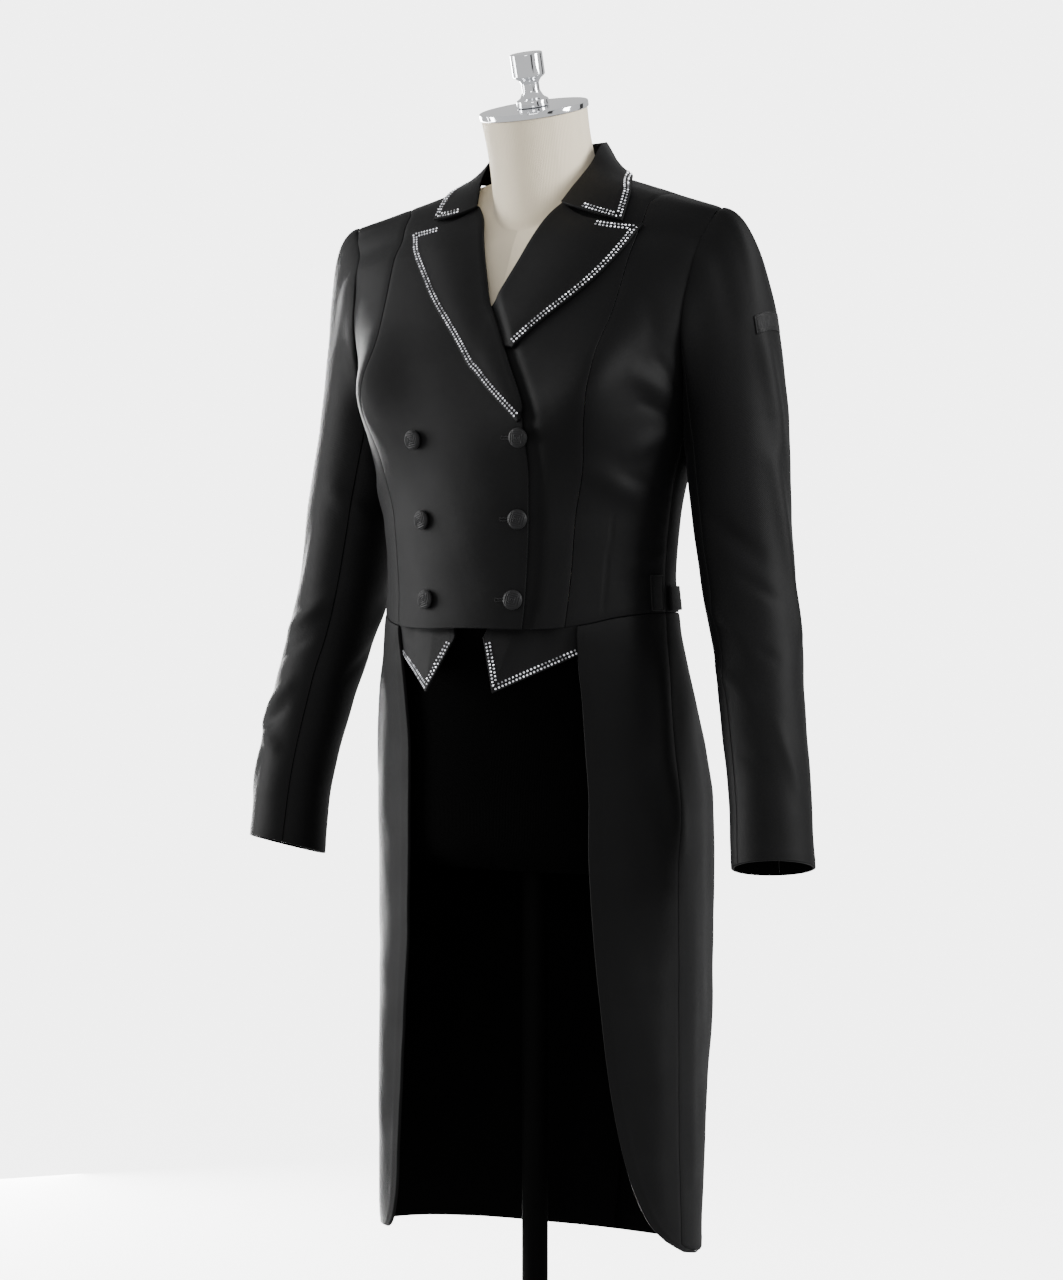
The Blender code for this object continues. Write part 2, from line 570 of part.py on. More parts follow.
def vent_tuck(angle, level, lap):
    """The right tail sinks under the left one beside the vent."""
    under = (angle - (180.0 - lap / 2)) * metres_per_degree(170.0, level)
    return (WALL + LAP_GAP) * smooth_step((under + VENT_RUN) / (VENT_RUN - TUCK_LEAD))


def make_lapels(finish):
    for side, word in ((RIGHT, "right"), (LEFT, "left")):
        def place(across, up, through, side=side, word=word):
            span = LAPEL_SPAN[word]
            roll_level = span.roll_start + (span.roll_end - span.roll_start) * up
            edge_level = span.edge_start + (span.edge_end - span.edge_start) * up
            roll_angle = seam_angle(FRONT_EDGE, roll_level)
            if side == LEFT:
                beside = SEAM * 2 / metres_per_degree(10.0, roll_level)
                roll_angle = max(roll_angle, -seam_angle(FRONT_EDGE, roll_level) + beside)
            edge_angle = read_table(LAPEL_EDGE, word, edge_level)
            angle = roll_angle + (edge_angle - roll_angle) * across
            level = roll_level + (edge_level - roll_level) * across
            level -= LAPEL_DIP * sin(pi * across ** 0.75) * up ** 6
            hump = LAPEL_ROLL_HEIGHT * 2.6 * sqrt(across) * (1 - across) ** 1.5
            lift = LAP_GAP * 0.9 + LAPEL_WALL * (1 - through) + hump
            if side == LEFT:
                sunk = left_front_tuck(angle, level)
                lift += LAP_GAP * 4 * (sunk / TUCK_DEPTH) * (1 - sunk / TUCK_DEPTH) - sunk * 0.75
            return on_coat(side, angle, level, lift)
        bent_wall(word + "_lapel", 7, 14, place, finish)


def read_column(keys, values, key):
    """A plain smooth reading of one column of numbers."""
    at = max(i for i in range(len(keys) - 1) if keys[i] <= key + 1e-9)
    span = keys[at + 1] - keys[at]
    s = (key - keys[at]) / span

    def slope(i):
        first, last = max(i - 1, 0), min(i + 1, len(keys) - 1)
        return span * (values[last] - values[first]) / (keys[last] - keys[first])
    return ((2 * s**3 - 3 * s**2 + 1) * values[at] + (s**3 - 2 * s**2 + s) * slope(at)
            + (3 * s**2 - 2 * s**3) * values[at + 1] + (s**3 - s**2) * slope(at + 1))


@lru_cache(maxsize=None)
def collar_columns():
    """Each named column of the collar's table, mirrored to run from its right end to its left."""
    keys, columns = [], {}
    rows = [(row, -1) for row in reversed(COLLAR[1:])] + [(row, 1) for row in COLLAR]
    for row, flip in rows:
        keys.append(flip * row.share)
        for name in ("seam", "roll", "middle", "edge"):
            x, y, *rest = getattr(row, name)
            z = rest[0] if rest else roof_height(x, y) + COLLAR_REST * sqrt(1 + roof_slope(x, y)**2)
            columns.setdefault(name, []).append((flip * x, y, z))
    return keys, columns


def collar_point(share, along):
    """The middle of the collar's wall: share runs from the right end (-1) to the left end (1)."""
    keys, columns = collar_columns()

    def station(name):
        return Vector([read_column(keys, values, share) for values in zip(*columns[name])])
    roll = station("roll")
    if along < STAND_SHARE:
        return station("seam").lerp(roll, along / STAND_SHARE)
    t = (along - STAND_SHARE) / (1 - STAND_SHARE)
    return (1 - t) ** 2 * roll + 2 * t * (1 - t) * station("middle") + t * t * station("edge")


def make_collar(finish):
    """Stand and fall in one folded wall, from one gorge round the neck to the other."""
    def smooth_path(share, along):
        reach = 0.035
        points = [collar_point(share, min(1.0, max(0.0, along + offset)))
                  for offset in (-reach, 0.0, reach)]
        return (points[0] + 2 * points[1] + points[2]) / 4

    def place(across, up, through):
        share, along = 2 * across - 1, up
        step = 0.01
        round_way = smooth_path(min(share + step, 1), along) - smooth_path(max(share - step, -1), along)
        up_way = smooth_path(share, min(along + step, 1)) - smooth_path(share, max(along - step, 0))
        normal = round_way.cross(up_way).normalized()
        return smooth_path(share, along) + normal * WALL * (through - 0.5)
    bent_wall("collar", 24, 9, place, finish)


def sleeve_axis(level):
    across = read_table(SLEEVE_RINGS, "across", level)
    return Vector((across, -read_table(SLEEVE_RINGS, "forward", level), level))


def sleeve_ring(turn, level):
    """A point of the sleeve below the biceps: turn 0 is outward, 0.25 is forward."""
    way = (sleeve_axis(level - 0.01) - sleeve_axis(level + 0.01)).normalized()
    way = way.lerp(-CUFF_NORMAL, smooth_step(1 - (level - CUFF_LEVEL) / CUFF_TILT_RUN)).normalized()
    outward = Vector((1, 0, 0))
    outward = (outward - way * outward.dot(way)).normalized()
    ahead = outward.cross(way).normalized()
    if ahead.y > 0:
        ahead = -ahead
    radius = read_table(SLEEVE_RINGS, "radius", level)
    spin = 2 * pi * turn
    return sleeve_axis(level) + radius * (cos(spin) * outward + sin(spin) * ahead)


def armhole_point(turn):
    """A point just outside the armhole seam: turn 0 at the shoulder tip, 0.5 at the armpit."""
    level = ARMPIT_LEVEL + (SHOULDER_LEVEL - ARMPIT_LEVEL) * (1 + cos(2 * pi * turn)) / 2
    level = min(level, SHOULDER_LEVEL - RIDGE_TUCK)
    seam = ARMHOLE_FRONT if turn % 1.0 <= 0.5 else ARMHOLE_BACK
    return body_point(seam_angle(seam, level), level).copy()


def clear_of_body(point, clearance):
    """Push a point of the sleeve out of the bodice, round the body's axis."""
    if point.z > ARMPIT_LEVEL + 0.004:
        return point
    ring = ring_at(min(point.z, ARMPIT_LEVEL))
    depth = ring.front if point.y < 0 else ring.back
    square = ring.front_square
    reach = ((abs(point.x) / ring.half) ** square + (abs(point.y) / depth) ** square) ** (1 / square)
    wanted = 1 + clearance / ring.half
    if reach >= wanted:
        return point
    return Vector((point.x * wanted / reach, point.y * wanted / reach, point.z))


def sleeve_point(turn, row):
    """The sleeve's outer face; row 0..1 is the head, then one unit for each arm level."""
    spin = 2 * pi * turn
    if row <= 1.0:
        start, end = armhole_point(turn), sleeve_ring(turn, BICEPS_LEVEL)
        out_share = (1 + cos(spin)) / 2
        leave = Vector((0.10 + 0.90 * out_share, -0.12 * sin(spin), -1.0 + 0.88 * out_share)).normalized()
        start = start + leave * SEAM + Vector((0.0018, 0, 0)) * (1 - out_share) ** 2
        arrive = (sleeve_axis(BICEPS_LEVEL - 0.01) - sleeve_axis(BICEPS_LEVEL + 0.01)).normalized()
        reach = (end - start).length
        s = row
        point = ((2 * s**3 - 3 * s**2 + 1) * start + (s**3 - 2 * s**2 + s) * leave * reach * HEAD_LEAVE
                 + (3 * s**2 - 2 * s**3) * end
                 + (s**3 - s**2) * arrive * reach * (HEAD_ARRIVE + HEAD_DROP * out_share))
        return clear_of_body(point, 0.0012 + 0.0006 * s)
    level = at_row([BICEPS_LEVEL] + ARM_LEVELS, (row - 1) / len(ARM_LEVELS))
    return clear_of_body(sleeve_ring(turn, level), 0.0020)


def sleeve_relief(side, turn, row):
    """Folds of a sleeve, in metres off its plain face."""
    level = sleeve_point(turn, row).z
    total = 0.0
    for fold in SLEEVE_FOLDS:
        if fold.side != side:
            continue
        scale = 2 * pi * read_table(SLEEVE_RINGS, "radius", fold.level)
        run = Vector(((fold.to_round - fold.round) * scale, fold.to_level - fold.level))
        turned = (turn - fold.round + 0.5) % 1.0 - 0.5
        here = Vector((turned * scale, level - fold.level))
        heading = run.normalized()
        across = here.x * heading.y - here.y * heading.x
        total += ridge_height(here.dot(heading), across, run.length, fold.width, fold.height)
    return total


def make_sleeves(finish):
    rows = HEAD_ROWS + [1.0 + i + 1 for i in range(len(ARM_LEVELS))]

    def wall_point(side, turn, up, through):
        row = at_row(rows, up)
        step = 0.004
        round_way = sleeve_point(turn + step, row) - sleeve_point(turn - step, row)
        low, high = max(row - 0.02, 0.0), min(row + 0.02, rows[-1])
        down_way = sleeve_point(turn, high) - sleeve_point(turn, low)
        normal = down_way.cross(round_way).normalized()
        centre = sleeve_axis(min(max(sleeve_point(turn, row).z, CUFF_LEVEL), 1.18))
        if normal.dot(sleeve_point(turn, row) - centre) < 0:
            normal = -normal
        base = sleeve_point(turn, row)
        point = base + normal * (sleeve_relief(side, turn, row) * smooth_step(row / 0.5) - WALL * through)
        return Vector((side * point.x, point.y, point.z))

    for side, word in ((RIGHT, "right"), (LEFT, "left")):
        for name, first, last, columns in (
            ("top_sleeve", HINDARM_SEAM - 1.0, FOREARM_SEAM, 11),
            ("under_sleeve", FOREARM_SEAM, HINDARM_SEAM, 8),
        ):
            def place(across, up, through, side=side, first=first, last=last):
                gap = SEAM / 2 / (2 * pi * 0.04)
                turn = first + gap + (last - first - 2 * gap) * across
                return wall_point(side, turn, up, through)
            bent_wall(word + "_" + name, columns, len(rows) - 1, place, finish)


def make_side_label(finish):
    """A blank label sewn into the side seam's foot on the wearer's left."""
    def place(across, up, through):
        angle = LABEL_ANGLES[0] + (LABEL_ANGLES[1] - LABEL_ANGLES[0]) * across
        level = LABEL_LEVELS[0] + (LABEL_LEVELS[1] - LABEL_LEVELS[0]) * up
        return on_coat(LEFT, angle, level, LAP_GAP / 2 + TAB_WALL * (1 - through))
    bent_wall("side_label", 2, 3, place, finish)


def make_half_belt(finish):
    """A narrow band over the back, from side seam to side seam."""
    def place(across, up, through):
        angle = HALF_BELT_START + (360.0 - 2 * HALF_BELT_START) * across
        side = LEFT if angle <= 180.0 else RIGHT
        own = angle if side == LEFT else 360.0 - angle
        level = HALF_BELT_LEVELS[0] + (HALF_BELT_LEVELS[1] - HALF_BELT_LEVELS[0]) * up
        return on_coat(side, own, level, LAP_GAP + WALL * (1 - through))
    bent_wall("half_belt", 26, 1, place, finish)


def make_vest_points(finish):
    """The two false waistcoat points, hanging clear of the body from under the front hem."""
    for side, word in ((RIGHT, "right"), (LEFT, "left")):
        def place(across, up, through, side=side):
            angle = VEST_ANGLES[0] + (VEST_ANGLES[1] - VEST_ANGLES[0]) * across
            hem = read_table(WAIST_LINE, "level", angle) - 0.001
            share = min(1.0, max(0.0, (up - VEST_HIDDEN) / (1 - VEST_HIDDEN)))
            first, last = VEST_CLEAR_ANGLES
            depth = WALL + LAP_GAP + VEST_CLEAR * smooth_step((last - angle) / (last - first))
            head = on_coat(LEFT, angle, hem + (VEST_TOP_LEVEL - hem) * share, -depth)
            inner, tip, outer = (Vector(VEST_POINT[key]) for key in ("inner", "tip", "outer"))
            if across <= VEST_TIP_SHARE:
                foot = inner.lerp(tip, across / VEST_TIP_SHARE)
            else:
                foot = tip.lerp(outer, (across - VEST_TIP_SHARE) / (1 - VEST_TIP_SHARE))
            down = min(1.0, max(0.0, 1 - up / VEST_HIDDEN))
            point = head.lerp(foot, down) - body_normal(angle, hem) * WALL * through
            return Vector((side * point.x, point.y, point.z))
        bent_wall(word + "_vest_point", 10, 5, place, finish)


def turned(name, profile, steps, finish, location=(0, 0, 0), tilt=None):
    """A turned solid: its profile runs down the outer side, from the axis back to the axis."""
    mesh = bpy.data.meshes.new(name)
    bm = bmesh.new()
    verts = [bm.verts.new((radius, 0.0, height)) for radius, height in profile]
    for first, second in zip(verts, verts[1:]):
        bm.edges.new((first, second))
    bm.to_mesh(mesh)
    bm.free()
    made = bpy.data.objects.new(name, mesh)
    mesh.materials.append(finish)
    COAT.objects.link(made)
    screw = made.modifiers.new("turn", "SCREW")
    screw.steps = screw.render_steps = steps
    screw.use_merge_vertices = True
    screw.merge_threshold = 0.00001
    screw.use_smooth_shade = True
    made.location = location
    if tilt is not None:
        made.rotation_mode = "QUATERNION"
        made.rotation_quaternion = tilt
    return made


def arc(centre_radius, centre_height, radius, start, end, steps):
    """Points of an arc in a profile, angles in degrees from outward, counted upward."""
    points = []
    for i in range(steps + 1):
        turn = radians(start + (end - start) * i / steps)
        points.append((centre_radius + radius * cos(turn), centre_height + radius * sin(turn)))
    return points


def make_buttons(finish):
    """Six domed buttons in cord, flat at the back."""
    height, radius = BUTTON_HEIGHT, BUTTON_RADIUS
    profile = [(0.0, height), (radius * 0.5, height * 0.93), (radius * 0.82, height * 0.72)]
    profile += [(radius, height * 0.40), (radius * 0.96, height * 0.12), (radius * 0.80, 0.0), (0.0, 0.0)]
    for side, word in ((RIGHT, "right"), (LEFT, "left")):
        for number, row in enumerate(BUTTON_ROWS, start=1):
            angle = button_angle(row)
            on_right = angle if side == RIGHT else -angle
            seat = on_coat(RIGHT, on_right, row.level, LAP_GAP / 2)
            normal = body_normal(angle, row.level)
            normal = Vector((side * normal.x, normal.y, normal.z))
            lean = Vector((0, 0, 1)).rotation_difference(normal)
            turned(f"{word}_button_{number}", profile, 12, finish, seat, lean)


def button_angle(row):
    ring = ring_at(row.level)
    return degrees(asin((row.across / ring.half) ** (ring.front_square / 2)))


def roof_height(x, y):
    """Height of the coat's outer surface over a point of the shoulder."""
    low, high = ARMPIT_LEVEL, SHOULDER_LEVEL
    for _ in range(40):
        level = (low + high) / 2
        ring = ring_at(level)
        middle = ring.ridge * (RIDGE_BACK - RIDGE_SWEEP * abs(x))
        depth = ring.front if y < middle else ring.back
        square = ring.front_square if y < middle else ring.back_square
        reach = (abs(x) / ring.half) ** square + (abs(y - middle) / max(depth, 1e-6)) ** square
        low, high = (level, high) if reach < 1 else (low, level)
    return low - ring_at(low).fall * abs(x) / SHOULDER_HALF


def roof_slope(x, y):
    step = 0.002
    slope_x = (roof_height(x + step, y) - roof_height(x - step, y)) / (2 * step)
    slope_y = (roof_height(x, y + step) - roof_height(x, y - step)) / (2 * step)
    return sqrt(slope_x**2 + slope_y**2)


def under_roof(x, y):
    """A height of the form below the coat: close under the shoulder line, further off elsewhere."""
    x = min(abs(x), SHOULDER_HALF - 0.010)
    slope = roof_slope(x, y)
    inset = SHOULDER_INSET + (FORM_INSET - SHOULDER_INSET) * smooth_step((slope - 0.38) / 0.45)
    return roof_height(x, y) - inset * sqrt(1 + slope**2)


def make_form(cream, black):
    """The limbless form: shoulders and neck in one, and the hips below."""
    around = 32

    def ring(bm, points):
        return [bm.verts.new(point) for point in points]

    def body_ring(level, inset):
        points = []
        for i in range(around):
            angle = 360.0 * i / around
            own = angle if angle <= 180.0 else 360.0 - angle
            side = LEFT if angle <= 180.0 else RIGHT
            point = body_point(own, level) - body_normal(own, level) * inset
            points.append(Vector((side * point.x, point.y, point.z)))
        return points

    def loft(name, rings, finish):
        bm = bmesh.new()
        loops = [ring(bm, points) for points in rings]
        for lower, upper in zip(loops, loops[1:]):
            for i in range(around):
                j = (i + 1) % around
                bm.faces.new((lower[i], lower[j], upper[j], upper[i]))
        bm.faces.new(loops[0])
        bm.faces.new(loops[-1])
        return add_object(name, bm, finish)

    hips = [body_ring(level, inset) for level, inset in (
        (HIPS_BOTTOM, 0.040), (HIPS_BOTTOM + 0.004, 0.024), (HIPS_BOTTOM + 0.014, 0.0135),
        (HIPS_BOTTOM + 0.034, FORM_INSET))]
    hips += [body_ring(level, FORM_INSET) for level in (0.82, 0.86, 0.90, 0.94, FORM_SPLIT - SEAM)]
    for points in hips[:1] + hips[-1:]:
        flat = points[0].z if points is hips[0] else FORM_SPLIT - SEAM
        for point in points:
            point.z = flat
    loft("form_hips", hips, black)

    torso = [body_ring(level, FORM_INSET) for level in (
        FORM_SPLIT, 1.02, 1.06, 1.10, 1.135, 1.165, 1.195, 1.220)]
    for point in torso[0]:
        point.z = FORM_SPLIT
    outline = torso[-1]
    for share in (0.10, 0.22, 0.36, 0.52, 0.68, 0.82, 0.93, 1.0):
        points = []
        for i in range(around):
            angle = radians(360.0 * i / around)
            foot = Vector((NECK_BASE * sin(angle), NECK_BACK - NECK_BASE * cos(angle)))
            spot = Vector(outline[i].xy).lerp(foot, share)
            points.append(Vector((spot.x, spot.y, under_roof(spot.x, spot.y))))
        torso.append(points)
    tilt = Matrix.Rotation(PLATE_TILT, 3, "X")
    top = []
    for share in (0.25, 0.65, 1.0):
        points = []
        for i in range(around):
            angle = radians(360.0 * i / around)
            rim = Vector((NECK_TOP * sin(angle), -NECK_TOP * cos(angle), 0.0))
            rim = PLATE_CENTRE + tilt @ (rim - Vector((0, 0, PLATE_THICK / 2 + SEAM)))
            points.append(torso[-1][i].lerp(rim, share) if share < 1 else rim)
        top.append(points)
    loft("form_torso", torso + top, cream)


def make_neck_fittings(chrome):
    """The capped neck: a bright plate and a turned knob, tilted forward with the neck."""
    lean = Matrix.Rotation(PLATE_TILT, 3, "X").to_quaternion()
    half, edge = PLATE_THICK / 2, 0.0012
    plate = [(0.0, half), (PLATE_RADIUS - edge, half), (PLATE_RADIUS, half - edge),
             (PLATE_RADIUS, -half + edge), (PLATE_RADIUS - edge, -half), (0.0, -half)]
    turned("neck_plate", plate, 32, chrome, PLATE_CENTRE, lean)
    knob = [(0.0, 0.049), (0.0130, 0.049), (0.0148, 0.0475), (0.0150, 0.0455), (0.0150, 0.0290),
            (0.0142, 0.0270), (0.0105, 0.0250), (0.0085, 0.0215), (0.0082, 0.0165), (0.0090, 0.0120),
            (0.0115, 0.0085), (0.0146, 0.0062), (0.0150, 0.0040), (0.0150, 0.0), (0.0, 0.0)]
    seat = PLATE_CENTRE + lean @ Vector((0, 0, half + SEAM))
    turned("knob", knob, 16, chrome, seat, lean)


def make_stand(metal, paint):
    """The pole and the flat round base."""
    lip = 0.0025
    base = [(0.0, BASE_HEIGHT), (BASE_RADIUS - lip, BASE_HEIGHT), (BASE_RADIUS, BASE_HEIGHT - lip),
            (BASE_RADIUS, 0.0), (0.0, 0.0)]
    turned("base", base, 40, metal)
    foot = BASE_HEIGHT + SEAM
    pole = [(0.0, HIPS_BOTTOM - SEAM), (POLE_RADIUS, HIPS_BOTTOM - SEAM), (POLE_RADIUS, foot + 0.020),
            (POLE_RADIUS * 1.5, foot + 0.014), (POLE_RADIUS * 2.2, foot + 0.010),
            (POLE_RADIUS * 2.2, foot), (0.0, foot)]
    turned("pole", pole, 16, paint)


def make_sleeve_patch(finish):
    """A small blank tab sewn on the left sleeve."""
    def place(across, up, through):
        turn = PATCH_TURNS[0] + (PATCH_TURNS[1] - PATCH_TURNS[0]) * across
        row = PATCH_ROWS[0] + (PATCH_ROWS[1] - PATCH_ROWS[0]) * up
        step = 0.004
        round_way = sleeve_point(turn + step, row) - sleeve_point(turn - step, row)
        down_way = sleeve_point(turn, row + 0.02) - sleeve_point(turn, row - 0.02)
        normal = down_way.cross(round_way).normalized()
        if normal.x < 0:
            normal = -normal
        relief = sleeve_relief(LEFT, turn, row) * smooth_step(row / 0.5)
        return sleeve_point(turn, row) + normal * (relief + LAP_GAP + TAB_WALL * (1 - through))
    bent_wall("left_sleeve_patch", 5, 2, place, finish)


def clear_scene():
    for item in list(bpy.data.objects):
        bpy.data.objects.remove(item, do_unlink=True)


clear_scene()
COAT = collection_named("tailcoat_on_dress_form")

WOOL = material("black_wool", (0.012, 0.012, 0.013), 0.82)
TRIM = material("black_satin_trim", (0.010, 0.010, 0.011), 0.55)
CORD = material("black_cord_button", (0.014, 0.014, 0.015), 0.70)
CREAM = material("cream_jersey", (0.80, 0.74, 0.62), 0.85)
BLACK = material("black_jersey", (0.006, 0.006, 0.006), 0.95)
CHROME = material("polished_chrome", (0.80, 0.80, 0.82), 0.12, 1.0)
STEEL = material("brushed_steel", (0.62, 0.62, 0.64), 0.30, 1.0)
PAINT = material("matte_black_paint", (0.010, 0.010, 0.010), 0.70)

make_bodice(WOOL)
make_tails(WOOL)
make_lapels(WOOL)
make_collar(WOOL)
make_sleeves(WOOL)
make_vest_points(WOOL)
make_half_belt(WOOL)
make_side_label(TRIM)
make_sleeve_patch(TRIM)
make_buttons(CORD)
make_form(CREAM, BLACK)
make_neck_fittings(CHROME)
make_stand(STEEL, PAINT)
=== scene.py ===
"""The looks of a women's riding tailcoat on its dress form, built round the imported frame.

Metres, +Z up, the coat faces -Y and the wearer's left is +X. The coat's outer face is one surface
read by angle (degrees round from the centre front, towards a piece's own side) and level (height
above the floor). Every cloth piece is a thin shell on that surface, between its own seams.
"""

from collections import namedtuple
from functools import lru_cache
from math import cos, pi, radians, sin, sqrt, tan

import bpy
import numpy as np
from bpy.props import FloatProperty, FloatVectorProperty, PointerProperty
from mathutils import Matrix, Vector


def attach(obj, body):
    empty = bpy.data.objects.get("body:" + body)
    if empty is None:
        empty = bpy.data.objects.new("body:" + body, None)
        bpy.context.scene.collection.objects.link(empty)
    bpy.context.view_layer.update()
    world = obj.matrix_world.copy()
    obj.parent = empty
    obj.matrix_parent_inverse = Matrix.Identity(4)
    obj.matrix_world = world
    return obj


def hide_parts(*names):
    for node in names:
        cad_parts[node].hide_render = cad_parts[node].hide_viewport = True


bl_info = {
    "name": "Riding tailcoat",
    "version": (1, 0, 0),
    "blender": (4, 5, 0),
    "location": "View3D > Sidebar > Tailcoat",
    "description": "Builds a riding tailcoat and its dress form round a packed frame",
    "category": "Object",
}

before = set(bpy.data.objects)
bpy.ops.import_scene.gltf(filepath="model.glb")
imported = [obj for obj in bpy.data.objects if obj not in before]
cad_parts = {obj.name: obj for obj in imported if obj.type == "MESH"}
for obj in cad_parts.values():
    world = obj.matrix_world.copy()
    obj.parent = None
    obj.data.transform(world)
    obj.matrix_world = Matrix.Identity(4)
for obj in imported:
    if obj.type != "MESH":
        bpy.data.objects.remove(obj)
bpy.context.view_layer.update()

RIGHT, LEFT = -1, 1
SIDES = ((RIGHT, "right"), (LEFT, "left"))
BODY = "root"

WALL = 0.0020
LAPEL_WALL = 0.0018
SEAM = 0.0003
LAP_GAP = 0.0008
EDGE_ROUND = 0.0008        # how far in a pressed cloth edge is rounded off
WAIST_LEVEL = 0.978
ARMPIT_LEVEL = 1.155
SHOULDER_LEVEL = 1.398
NECK_BLEND_LEVEL = 1.320
RIDGE_TUCK = 0.00008
SHOULDER_HALF = 0.1956
RIDGE_BACK = 0.049
RIDGE_SWEEP = 0.246
RIDGE_NORMAL = np.array((0.292, 0.0, 0.956))
NORMAL_HELD = 1.391      # above this level the normal turns to the shoulder line's own

BASE_RADIUS = 0.165
BASE_HEIGHT = 0.009
POLE_RADIUS = 0.012
HIPS_BOTTOM = 0.742
FORM_SPLIT = 0.988
FORM_INSET = 0.0098
SHOULDER_INSET = 0.0029
NECK_RADIUS = 0.0490
NECK_BACK = 0.0200
PLATE_CENTRE = Vector((0.0, -0.002, 1.4366))
PLATE_TILT = radians(15.5)
PLATE_RADIUS = 0.0505
PLATE_THICK = 0.006

# The rings of the coat, as in the part's own source.
Ring = namedtuple("Ring", "level half front back front_square back_square ridge fall")
RINGS = [
    Ring(0.385, 0.1610, 0.0800, 0.1120, 2.20, 2.20, 0.00, 0.0000),
    Ring(0.528, 0.1585, 0.0800, 0.1390, 2.20, 2.20, 0.00, 0.0000),
    Ring(0.620, 0.1600, 0.0800, 0.1536, 2.20, 2.20, 0.00, 0.0000),
    Ring(0.713, 0.1616, 0.0805, 0.1537, 2.20, 2.20, 0.00, 0.0000),
    Ring(0.805, 0.1625, 0.0820, 0.1510, 2.20, 2.20, 0.00, 0.0000),
    Ring(0.851, 0.1600, 0.0860, 0.1375, 2.15, 2.15, 0.00, 0.0000),
    Ring(0.897, 0.1560, 0.0950, 0.1110, 2.10, 2.10, 0.00, 0.0000),
    Ring(0.940, 0.1500, 0.1090, 0.0890, 2.05, 2.05, 0.00, 0.0000),
    Ring(0.965, 0.1465, 0.1165, 0.0810, 2.00, 2.05, 0.00, 0.0000),
    Ring(1.011, 0.1436, 0.1150, 0.0730, 2.00, 2.00, 0.00, 0.0000),
    Ring(1.060, 0.1470, 0.1165, 0.0780, 2.00, 2.00, 0.00, 0.0000),
    Ring(1.100, 0.1530, 0.1175, 0.0900, 2.10, 2.10, 0.00, 0.0000),
    Ring(1.140, 0.1610, 0.1205, 0.1000, 2.20, 2.20, 0.00, 0.0000),
    Ring(1.155, 0.1630, 0.1185, 0.1030, 2.30, 2.30, 0.00, 0.0000),
    Ring(1.200, 0.1720, 0.1050, 0.1045, 2.45, 2.50, 0.05, 0.0020),
    Ring(1.250, 0.1880, 0.0865, 0.0920, 2.35, 2.60, 0.20, 0.0090),
    Ring(1.290, 0.1950, 0.0770, 0.0790, 2.10, 2.60, 0.40, 0.0185),
    Ring(1.320, 0.1990, 0.0720, 0.0670, 1.85, 2.50, 0.60, 0.0276),
    Ring(1.350, 0.2010, 0.0610, 0.0520, 1.60, 2.40, 0.78, 0.0384),
    Ring(1.375, 0.2015, 0.0480, 0.0360, 1.60, 2.20, 0.92, 0.0489),
    Ring(1.390, 0.2015, 0.0300, 0.0220, 1.80, 2.10, 1.00, 0.0559),
    Ring(1.398, 0.2015, 0.0000, 0.0000, 2.00, 2.00, 1.00, 0.0597),
]
Bust = namedtuple("Bust", "height angle level angle_spread level_spread")
BUST = Bust(0.018, 37.0, 1.180, 15.0, 0.050)

# Seams and edges, each an angle at a level.
Seam = namedtuple("Seam", "level angle")
FRONT_EDGE = [
    Seam(0.960, -20.0), Seam(1.007, -23.2), Seam(1.052, -24.0), Seam(1.096, -22.6),
    Seam(1.144, -18.9), Seam(1.166, -15.5), Seam(1.194, -9.1), Seam(1.236, -2.1),
    Seam(1.251, 0.0), Seam(1.271, 2.0), Seam(1.298, 5.7), Seam(1.326, 10.6),
    Seam(1.352, 17.0), Seam(1.380, 22.5), Seam(1.398, 24.0),
]
PRINCESS = [
    Seam(0.960, 35.5), Seam(1.021, 40.5), Seam(1.056, 41.0), Seam(1.100, 42.0),
    Seam(1.148, 39.6), Seam(1.180, 36.8), Seam(1.216, 35.8), Seam(1.260, 37.4),
    Seam(1.305, 40.0), Seam(1.358, 44.5), Seam(1.398, 43.6),
]
ARMHOLE_FRONT = [
    Seam(1.155, 90.0), Seam(1.160, 88.0), Seam(1.175, 84.8), Seam(1.197, 79.9),
    Seam(1.225, 71.5), Seam(1.244, 67.6), Seam(1.276, 65.4), Seam(1.314, 65.6),
    Seam(1.347, 68.1), Seam(1.375, 72.0), Seam(1.398, 76.1),
]
ARMHOLE_BACK = [
    Seam(1.155, 90.0), Seam(1.160, 93.5), Seam(1.175, 98.5), Seam(1.200, 106.0),
    Seam(1.225, 113.0), Seam(1.250, 118.0), Seam(1.300, 120.5), Seam(1.350, 117.0),
    Seam(1.375, 112.0), Seam(1.398, 103.9),
]
SIDE_SEAM = [
    Seam(0.400, 86.0), Seam(0.800, 81.0), Seam(0.883, 80.0), Seam(0.918, 82.0),
    Seam(0.978, 85.5), Seam(1.088, 86.5), Seam(1.155, 90.0),
]
SIDE_BACK_SEAM = [
    Seam(0.960, 157.0), Seam(1.011, 155.5), Seam(1.060, 152.0), Seam(1.100, 148.0),
    Seam(1.155, 141.0), Seam(1.200, 134.0), Seam(1.235, 126.0), Seam(1.250, 121.5),
]
SIDE_BACK_TOP = 1.240
CENTRE_BACK = [Seam(0.0, 180.0), Seam(2.0, 180.0)]

